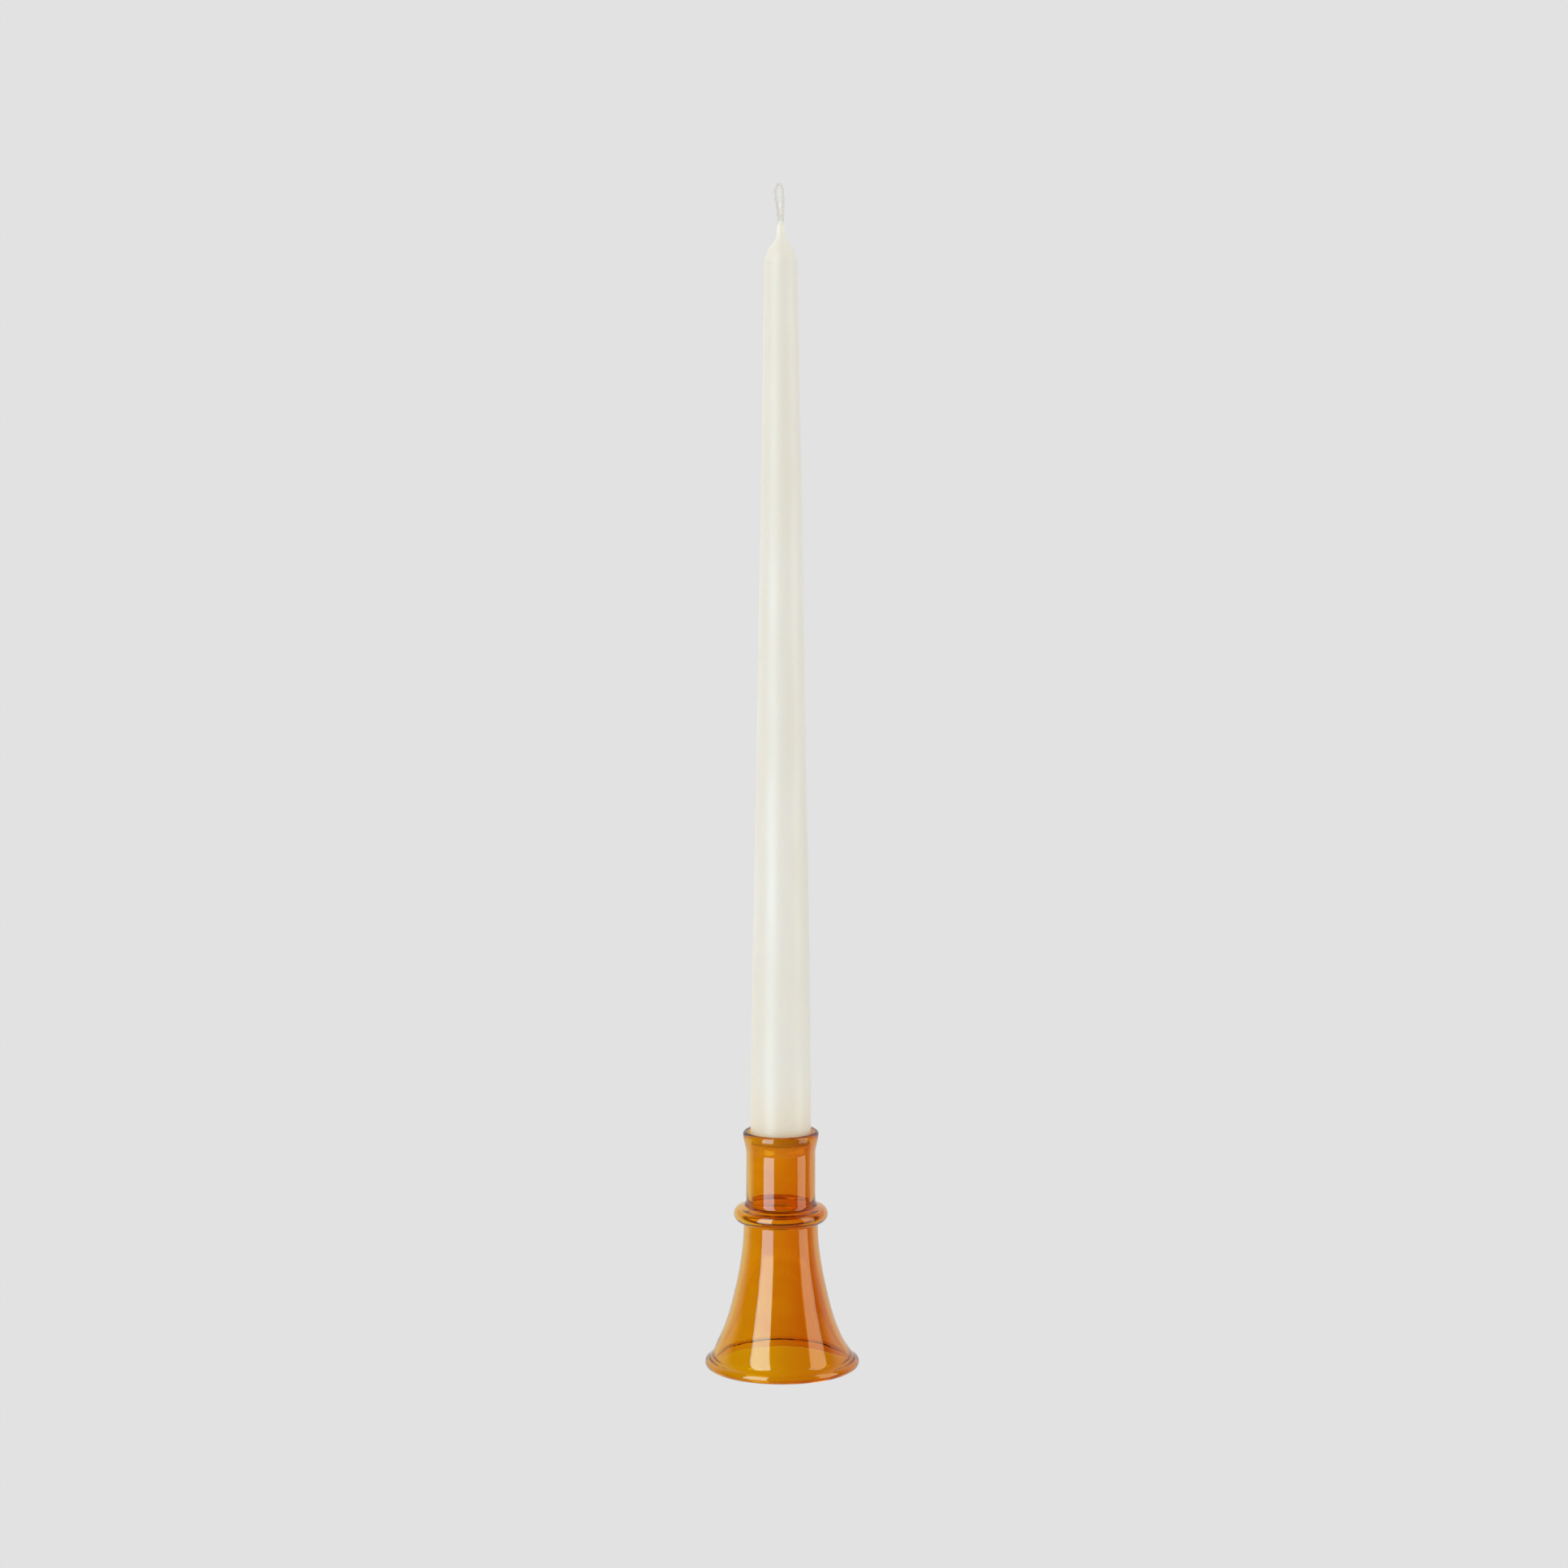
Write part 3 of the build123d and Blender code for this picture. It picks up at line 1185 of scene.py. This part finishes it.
    def build(self, lathe: Lathe, material: bpy.types.Material) -> bpy.types.Object:
        """Turns the holder and puts it on its body.

        Args:
            lathe: The lathe.
            material: The glass.

        Returns:
            The finished piece.
        """
        section, traits = self.section()
        piece = lathe.turn("glass_candlestick", section, traits, self.segments, self.handwork, material)
        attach(piece, Body.HOLDER.value)
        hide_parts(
            Node.SOCKET_TUBE.value,
            Node.SOCKET_FLOOR.value,
            Node.COLLAR_RING.value,
            Node.BELL_FOOT.value,
        )
        return piece


def foot_seam_radius() -> float:
    """Outside radius of the neck, read off the bell foot's top ring.

    Returns:
        The radius.
    """
    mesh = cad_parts[Node.BELL_FOOT.value].data
    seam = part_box(Node.BELL_FOOT.value)[1].z
    return max(math.hypot(v.co.x, v.co.y) for v in mesh.vertices if v.co.z > seam - 0.001 * MM)


# ------------------------------------------------------------------------------ the candle


@dataclass
class TaperCandle:
    """The dipped wax, with the neck that climbs the wick.

    Attributes:
        straight: Straight stretch above the base.
        base_round: Rounded lower edge.
        top_diameter: Below the shoulder.
        shoulder: Height of the shoulder.
        neck_radius: Half width of the waxed neck.
        neck: How far the wax climbs the strands.
        film_height: How far the film between the strands climbs above the neck.
        neck_flatness: The neck's depth as a share of its width.
        film_flatness: The film's depth as a share of its width.
        bow: How far the candle bows to +X at its middle.
        segments: Steps around the axis.
        handwork: How uneven it is.
    """

    straight: float = 26.7 * MM
    base_round: float = 1.2 * MM
    top_diameter: float = 12.1 * MM
    shoulder: float = 10.0 * MM
    neck_radius: float = 1.5 * MM
    neck: float = 6.0 * MM
    film_height: float = 5.0 * MM
    neck_flatness: float = 0.66
    film_flatness: float = 0.3
    bow: float = 0.25 * MM
    segments: int = 128
    handwork: Handwork = field(
        default_factory=lambda: Handwork(
            sway=0.12 * MM, sway_size=24 * MM, ripple=0.02 * MM, ripple_size=6 * MM, seed=2.0
        )
    )

    def section(self) -> tuple[list[Point2], dict[str, list[float]]]:
        """The half section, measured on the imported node.

        Returns:
            The section from the base to the film's tip, and its traits.
        """
        low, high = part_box(Node.CANDLE_WAX.value)
        base, neck_top, radius = low.z, high.z, high.x
        tip = neck_top - self.neck
        shoulder_level = tip - self.shoulder
        top = self.top_diameter / 2
        taper_start = base + self.straight
        under = line((0.0, base), (radius - self.base_round, base), 6)
        edge = arc((radius - self.base_round, base + self.base_round), self.base_round, -90, 0, 8)
        straight = line((radius, base + self.base_round), (radius, taper_start), 10)
        taper = line((radius, taper_start), (top, shoulder_level), 110)
        lean = np.array([top - radius, shoulder_level - taper_start])
        lean = tuple(lean / np.linalg.norm(lean))
        shoulder = spline(
            [
                (top, shoulder_level),
                (0.64 * top, shoulder_level + 0.56 * self.shoulder),
                (self.neck_radius, tip),
            ],
            lean,
            (0.0, 1.0),
            26,
        )
        film = spline(
            [
                (self.neck_radius, tip),
                (0.93 * self.neck_radius, tip + 0.45 * self.neck),
                (0.72 * self.neck_radius, tip + 0.9 * self.neck),
                (0.66 * self.neck_radius, neck_top + 0.5 * self.film_height),
                (0.0, neck_top + self.film_height),
            ],
            (0.0, 1.0),
            (-1.0, 0.0),
            26,
        )
        section = joined(under, edge, straight, taper, shoulder, film)
        traits = {
            "hollow": [0.0] * len(section),
            "oval": [self.flattening(z, tip, neck_top) for _, z in section],
            "loose": [self.looseness(z, base, shoulder_level) for _, z in section],
            "aside": [self.bow * math.sin(math.pi * (z - base) / (section[-1][1] - base)) for _, z in section],
        }
        return section, traits

    def flattening(self, level: float, tip: float, neck_top: float) -> float:
        """Depth of the wax as a share of its width.

        Args:
            level: Height of the point.
            tip: Where the neck starts.
            neck_top: Where the film starts.

        Returns:
            1 on the body, less on the neck, little on the film.
        """
        onto_neck = eased(level, tip - 0.3 * self.shoulder, tip)
        onto_film = eased(level, tip, neck_top + 0.3 * self.film_height)
        neck = 1.0 + (self.neck_flatness - 1.0) * onto_neck
        return neck + (self.film_flatness - neck) * onto_film

    @staticmethod
    def looseness(level: float, base: float, shoulder_level: float) -> float:
        """How much handwork a level may show.

        Args:
            level: Height of the point.
            base: Level of the candle's lower end.
            shoulder_level: Where the shoulder starts.

        Returns:
            Little at the base, which the mouth grips, and on the neck.
        """
        above = share_between(level, base, base + 25 * MM)
        below = share_between(level, shoulder_level + 8 * MM, shoulder_level)
        at_base, on_neck = 0.15, 0.2
        return (at_base + (1 - at_base) * above) * (on_neck + (1 - on_neck) * below)

    def build(self, lathe: Lathe, material: bpy.types.Material) -> bpy.types.Object:
        """Turns the wax and puts it on its body.

        Args:
            lathe: The lathe.
            material: The wax.

        Returns:
            The finished piece.
        """
        section, traits = self.section()
        piece = lathe.turn("taper_wax", section, traits, self.segments, self.handwork, material)
        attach(piece, Body.CANDLE.value)
        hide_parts(Node.CANDLE_WAX.value)
        return piece


@dataclass
class BraidedWick:
    """One braided strand: up through the wax, over in a loop and back into the wax.

    Attributes:
        strand: Width of the braid.
        depth: Its thickness as a share of its width.
        plies: Number of plies.
        ply: Thickness of one ply.
        pitch: Length of one full crossing of the braid.
        strand_gap: Space between the two strands in the neck.
        loop_width: Between the strands' middles, at the widest part of the loop.
        loop_lean: How far the loop leans to -X.
        tail: How far the short leg runs down inside the wax.
        neck: How far the wax climbs the strands.
    """

    strand: float = 1.2 * MM
    depth: float = 0.8
    plies: int = 3
    ply: float = 0.52 * MM
    pitch: float = 3.0 * MM
    strand_gap: float = 0.1 * MM
    loop_width: float = 2.75 * MM
    loop_lean: float = 0.6 * MM
    tail: float = 22.0 * MM
    neck: float = 6.0 * MM

    def route(self) -> list[tuple[float, float, float]]:
        """The strand's middle line, as control points of a smooth curve.

        Returns:
            The points.
        """
        low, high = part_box(Node.WICK.value)
        neck_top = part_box(Node.CANDLE_WAX.value)[1].z
        side = (self.strand + self.strand_gap) / 2
        top = high.z - self.strand / 2
        open_height = top - neck_top
        left = -self.loop_lean - self.loop_width / 2
        right = -self.loop_lean + self.loop_width / 2
        return [
            (-side, 0.0, low.z),
            (-side, 0.0, low.z + 0.4 * (neck_top - low.z)),
            (-side, 0.0, neck_top - 2 * self.neck),
            (-side, 0.0, neck_top - 0.4 * self.neck),
            (-side - 0.10 * MM, 0.0, neck_top + 0.10 * open_height),
            (0.5 * (left - side) - 0.1 * MM, 0.0, neck_top + 0.42 * open_height),
            (left, 0.0, neck_top + 0.72 * open_height),
            (left + 0.05 * MM, 0.1 * MM, top + 0.01 * open_height),
            (-self.loop_lean, 0.15 * MM, top + 0.09 * open_height),
            (right - 0.05 * MM, 0.1 * MM, top - 0.02 * open_height),
            (right, 0.0, neck_top + 0.68 * open_height),
            (0.5 * (right + side) + 0.1 * MM, 0.0, neck_top + 0.36 * open_height),
            (side + 0.05 * MM, 0.0, neck_top + 0.06 * open_height),
            (side, 0.0, neck_top - 0.4 * self.neck),
            (side, 0.0, neck_top - self.neck - self.tail),
        ]

    def tree(self) -> tuple[bpy.types.NodeTree, dict[str, str]]:
        """The braid as a tree: plies cross each other along the route.

        Returns:
            The tree and its inputs' identifiers.
        """
        tree = bpy.data.node_groups.new("braid", "GeometryNodeTree")
        inputs = new_sockets(
            tree,
            "INPUT",
            {
                "Route": ("NodeSocketGeometry", None),
                "Plies": ("NodeSocketInt", 3),
                "Ply Radius": ("NodeSocketFloat", 0.0003),
                "Half Width": ("NodeSocketFloat", 0.0003),
                "Half Depth": ("NodeSocketFloat", 0.0002),
                "Pitch": ("NodeSocketFloat", 0.003),
                "Step": ("NodeSocketFloat", 0.0002),
                "Material": ("NodeSocketMaterial", None),
            },
        )
        new_sockets(tree, "OUTPUT", {"Braid": ("NodeSocketGeometry", None)})
        canvas = NodeCanvas(tree)
        given = canvas.add("NodeGroupInput").outputs
        finished = canvas.add("NodeGroupOutput")
        even = canvas.add("GeometryNodeResampleCurve", mode="LENGTH")
        canvas.feed(even.inputs["Curve"], given["Route"])
        canvas.feed(even.inputs["Length"], given["Step"])
        plies = canvas.add("GeometryNodeDuplicateElements", domain="SPLINE")
        canvas.feed(plies.inputs["Geometry"], even.outputs[0])
        canvas.feed(plies.inputs["Amount"], given["Plies"])

        length = canvas.add("GeometryNodeSplineParameter").outputs["Length"]
        share = canvas.math("DIVIDE", plies.outputs["Duplicate Index"], given["Plies"])
        turns = canvas.math("ADD", canvas.math("DIVIDE", length, given["Pitch"]), share)
        phase = canvas.math("MULTIPLY", turns, 2 * math.pi)
        across = canvas.math("MULTIPLY", canvas.math("SINE", phase), given["Half Width"])
        over = canvas.math("MULTIPLY", canvas.math("SINE", canvas.math("MULTIPLY", phase, 2.0)),
                           given["Half Depth"])
        sideways = canvas.add("ShaderNodeVectorMath", operation="CROSS_PRODUCT")
        canvas.feed(sideways.inputs[0], canvas.add("GeometryNodeInputTangent").outputs[0])
        sideways.inputs[1].default_value = (0.0, 1.0, 0.0)
        step = canvas.add("ShaderNodeVectorMath", operation="SCALE")
        canvas.feed(step.inputs[0], sideways.outputs[0])
        canvas.feed(step.inputs["Scale"], across)
        lift = canvas.add("ShaderNodeCombineXYZ")
        canvas.feed(lift.inputs[1], over)
        move = canvas.add("ShaderNodeVectorMath", operation="ADD")
        canvas.feed(move.inputs[0], step.outputs[0])
        canvas.feed(move.inputs[1], lift.outputs[0])
        crossed = canvas.add("GeometryNodeSetPosition")
        canvas.feed(crossed.inputs["Geometry"], plies.outputs["Geometry"])
        canvas.feed(crossed.inputs["Offset"], move.outputs[0])
        along = canvas.add("GeometryNodeStoreNamedAttribute", data_type="FLOAT", domain="POINT")
        canvas.feed(along.inputs["Geometry"], crossed.outputs[0])
        canvas.feed(along.inputs["Name"], "along")
        canvas.feed(along.inputs["Value"], length)

        ring = canvas.add("GeometryNodeCurvePrimitiveCircle", mode="RADIUS")
        canvas.feed(ring.inputs["Resolution"], 8)
        canvas.feed(ring.inputs["Radius"], given["Ply Radius"])
        around = canvas.add("GeometryNodeStoreNamedAttribute", data_type="FLOAT", domain="POINT")
        canvas.feed(around.inputs["Geometry"], ring.outputs[0])
        canvas.feed(around.inputs["Name"], "around")
        canvas.feed(around.inputs["Value"], canvas.add("GeometryNodeSplineParameter").outputs["Factor"])
        tube = canvas.add("GeometryNodeCurveToMesh")
        canvas.feed(tube.inputs["Curve"], along.outputs[0])
        canvas.feed(tube.inputs["Profile Curve"], around.outputs[0])
        canvas.feed(tube.inputs["Fill Caps"], True)
        canvas.dress(tube.outputs[0], given["Material"], finished)
        return tree, inputs

    def build(self, material: bpy.types.Material) -> bpy.types.Object:
        """Braids the wick and puts it on its body.

        Args:
            material: The cotton.

        Returns:
            The finished piece.
        """
        curve = bpy.data.curves.new("braided_wick", "CURVE")
        curve.dimensions = "3D"
        path = curve.splines.new("NURBS")
        points = self.route()
        path.points.add(len(points) - 1)
        for spot, point in zip(path.points, points):
            spot.co = (*point, 1.0)
        path.order_u = 3
        path.use_endpoint_u = True
        path.resolution_u = 24
        tree, inputs = self.tree()
        settings = {
            "Plies": self.plies,
            "Ply Radius": self.ply / 2,
            "Half Width": (self.strand - self.ply) / 2,
            "Half Depth": (self.depth * self.strand - self.ply) / 2,
            "Pitch": self.pitch,
            "Step": self.pitch / 16,
            "Material": material,
        }
        piece = grown(place_object("braided_wick", curve), tree, inputs, settings)
        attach(piece, Body.CANDLE.value)
        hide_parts(Node.WICK.value)
        return piece


# ------------------------------------------------------------------------------ the studio


@dataclass
class Softbox:
    """A tall soft lamp to one side.

    Attributes:
        name: The lamp's name.
        bearing: Degrees from the camera's side, positive to the right.
        distance: From the axis.
        width: Across.
        bottom: Level of its lower edge.
        top: Level of its upper edge.
        radiance: Brightness of its face, where white paper in full light is 1. The camera and matt
            surfaces don't see it.
        tint: Colour of its light.
    """

    name: str
    bearing: float
    distance: float
    width: float
    bottom: float
    top: float
    radiance: float
    tint: tuple[float, float, float]

    def build(self) -> bpy.types.Object:
        """Hangs the lamp.

        Returns:
            The lamp object.
        """
        light = bpy.data.lights.new(self.name, "AREA")
        light.shape = "RECTANGLE"
        light.size = self.width
        light.size_y = self.top - self.bottom
        light.color = self.tint
        light.energy = self.radiance * math.pi * light.size * light.size_y
        lamp = place_object(self.name, light)
        turn = math.radians(self.bearing)
        away = Vector((math.sin(turn), -math.cos(turn), 0.0))
        lamp.location = away * self.distance + Vector((0, 0, (self.top + self.bottom) / 2))
        lamp.rotation_euler = away.to_track_quat("Z", "Y").to_euler()
        lamp.visible_camera = False
        lamp.visible_diffuse = False
        return lamp


@dataclass
class Studio:
    """Pale sweep, two soft lamps and the camera.

    Attributes:
        paper: Brightness of the pale surroundings.
        distance: Camera's distance from the axis, level with the floor.
        height: Camera's height.
        aim: Level that the camera looks at.
        aside: How far to +X the camera stands and looks.
        lens: Focal length in millimetres, on the sensor below.
        sensor: Sensor width in millimetres.
        sweep_top: Upward share of a direction where the pale sweep ends, and where the ceiling starts.
        sweep_side: Backward share of a direction where the room ends, and where the sweep starts.
        table_edge: Upward share of a direction where the lit table ends, and where the room starts.
        ceiling: Brightness of the ceiling, as it is seen through the glass.
        dark_room: Brightness of the room between the sweep and the table, as gloss shows it.
        table_gleam: Share of the table's brightness that shows as its reflection in the glass.
        painted_light_inside_foot: Tint of the floor inside the foot, painted amber light that stands in for
            the light that comes through the glass.
        inside_edge: How far inside the rim that tint starts to fade, and where it has gone.
        floor_reach: From the floor's middle to its edges.
        key: Brightness of the -X side, as matt surfaces see it.
        fill: Brightness of the +X side, as they see it.
        crossings: How many surfaces light may cross on its way through the glass.
        softboxes: The lamps that show in the gloss.
    """

    paper: float = 0.7605
    distance: float = 1.93
    height: float = 0.52
    aim: float = 0.2205
    aside: float = 1.2 * MM
    lens: float = 121.7
    sensor: float = 36.0
    sweep_top: tuple[float, float] = (0.45, 0.75)
    sweep_side: tuple[float, float] = (0.1, 0.5)
    table_edge: tuple[float, float] = (-0.42, -0.30)
    ceiling: float = 0.12
    dark_room: float = 0.02
    table_gleam: float = 0.2
    painted_light_inside_foot: tuple[float, float, float] = (0.89, 0.645, 0.05)
    inside_edge: tuple[float, float] = (3.0 * MM, 1.0 * MM)
    floor_reach: float = 6.0
    key: float = 1.35
    fill: float = 0.85
    crossings: int = 40
    softboxes: tuple[Softbox, ...] = (
        Softbox("softbox_left", -41.0, 1.2, 0.80, -0.45, 1.7, 6.4, (0.60, 0.88, 1.0)),
        Softbox("softbox_right", 74.0, 1.2, 0.70, -0.45, 1.7, 2.8, (0.92, 1.0, 0.75)),
    )

    def camera(self) -> bpy.types.Object:
        """Sets up the camera.

        Returns:
            The camera object.
        """
        data = bpy.data.cameras.new("camera")
        data.lens = self.lens
        data.sensor_width = self.sensor
        data.clip_start = 0.05
        camera = place_object("camera", data)
        camera.location = (self.aside, -self.distance, self.height)
        looking = Vector((self.aside, 0.0, self.aim)) - camera.location
        camera.rotation_euler = looking.to_track_quat("-Z", "Y").to_euler()
        bpy.context.scene.camera = camera
        return camera

    def surroundings(self) -> bpy.types.World:
        """The air around: pale to look at, with a darker room for gloss to show.

        Returns:
            The world.
        """
        world = bpy.data.worlds.new("pale_studio")
        world.use_nodes = True
        canvas = NodeCanvas(world.node_tree)
        background = world.node_tree.nodes["Background"]
        rays = canvas.add("ShaderNodeLightPath").outputs
        way = canvas.add("ShaderNodeSeparateXYZ")
        canvas.feed(way.inputs[0], canvas.add("ShaderNodeTexCoord").outputs["Generated"])
        level = way.outputs[2]
        # seen through the glass: pale up to the top of the sweep, then a dim ceiling
        through = canvas.ramp(level, *self.sweep_top, self.paper, self.ceiling)
        # seen in the glass: the sweep behind and the lit table close by, with a dark room between
        behind = canvas.ramp(way.outputs[1], *self.sweep_side, self.dark_room, self.paper)
        table = canvas.ramp(level, *self.table_edge, self.table_gleam * self.paper, 0.0)
        mirrored = canvas.math("MAXIMUM", behind, table)
        # what lights the wax and the wick
        lighting = canvas.ramp(way.outputs[0], -1.0, 1.0, self.key, self.fill, smooth=False)
        lit = canvas.add("ShaderNodeMix", data_type="FLOAT")
        canvas.feed(lit.inputs[0], rays["Is Diffuse Ray"])
        canvas.feed(lit.inputs[2], through)
        canvas.feed(lit.inputs[3], lighting)
        seen = canvas.add("ShaderNodeMix", data_type="FLOAT")
        canvas.feed(seen.inputs[0], rays["Is Glossy Ray"])
        canvas.feed(seen.inputs[2], lit.outputs[0])
        canvas.feed(seen.inputs[3], mirrored)
        straight = canvas.add("ShaderNodeMix", data_type="FLOAT")
        canvas.feed(straight.inputs[0], rays["Is Camera Ray"])
        canvas.feed(straight.inputs[2], seen.outputs[0])
        canvas.feed(straight.inputs[3], self.paper)
        canvas.feed(background.inputs["Strength"], straight.outputs[0])
        background.inputs["Color"].default_value = (1.0, 1.0, 1.0, 1.0)
        bpy.context.scene.world = world
        return world

    def floor(self) -> bpy.types.Object:
        """The pale floor, which glows so evenly that it meets the surroundings without a line.

        A glowing floor takes no shadow and no light from the object, so the tint inside the foot
        stands in for the light that comes through the glass.

        Returns:
            The floor object.
        """
        half = self.floor_reach
        mesh = bpy.data.meshes.new("floor")
        corners = [(-half, -half, 0.0), (half, -half, 0.0), (half, half, 0.0), (-half, half, 0.0)]
        mesh.from_pydata(corners, [], [(0, 1, 2, 3)])
        material = bpy.data.materials.new("pale_floor")
        material.use_nodes = True
        canvas = NodeCanvas(material.node_tree)
        output = material.node_tree.nodes["Material Output"]
        glow = canvas.add("ShaderNodeEmission")
        reach = canvas.add("ShaderNodeVectorMath", operation="LENGTH")
        canvas.feed(reach.inputs[0], canvas.add("ShaderNodeTexCoord").outputs["Object"])
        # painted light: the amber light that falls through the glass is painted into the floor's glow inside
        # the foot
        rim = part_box(Node.BELL_FOOT.value)[1].x
        from_rim = [rim - gap for gap in self.inside_edge]
        outside = canvas.ramp(reach.outputs["Value"], *from_rim, 0.0, 1.0)
        tint = canvas.blend((*self.painted_light_inside_foot, 1.0), (1.0, 1.0, 1.0, 1.0), outside)
        canvas.feed(glow.inputs["Color"], tint)
        glow.inputs["Strength"].default_value = self.paper
        canvas.feed(output.inputs["Surface"], glow.outputs[0])
        mesh.materials.append(material)
        floor = place_object("floor", mesh)
        floor.visible_glossy = False
        floor.visible_shadow = False
        return floor

    def build(self) -> None:
        """Sets the whole studio up."""
        self.camera()
        self.surroundings()
        self.floor()
        for softbox in self.softboxes:
            softbox.build()
        scene = bpy.context.scene
        scene.view_settings.view_transform = "Standard"
        scene.view_settings.look = "None"
        # light that the walls guide round the glass crosses many surfaces before it leaves
        scene.cycles.max_bounces = self.crossings
        scene.cycles.transmission_bounces = self.crossings
        scene.cycles.glossy_bounces = self.crossings // 2


# ------------------------------------------------------------------------------ the whole


def report(piece: bpy.types.Object) -> None:
    """Logs a piece's size.

    Args:
        piece: The piece.
    """
    triangles = sum(len(face.vertices) - 2 for face in piece.data.polygons)
    size = ", ".join(f"{side / MM:.1f}" for side in piece.dimensions)
    log.info("%s: %d triangles, %s mm", piece.name, triangles, size)


def main() -> None:
    """Builds every piece in order."""
    logging.basicConfig(level=logging.INFO, format="%(name)s: %(message)s")
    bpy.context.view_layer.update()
    Studio().build()
    unevenness = Unevenness()
    lathe = Lathe()
    report(GlassHolder().build(lathe, AmberGlass().make(unevenness)))
    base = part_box(Node.CANDLE_WAX.value)[0].z
    report(TaperCandle().build(lathe, IvoryWax().make(unevenness, base)))
    report(BraidedWick().build(WaxedCotton().make(unevenness)))


if __name__ == "__main__":
    main()
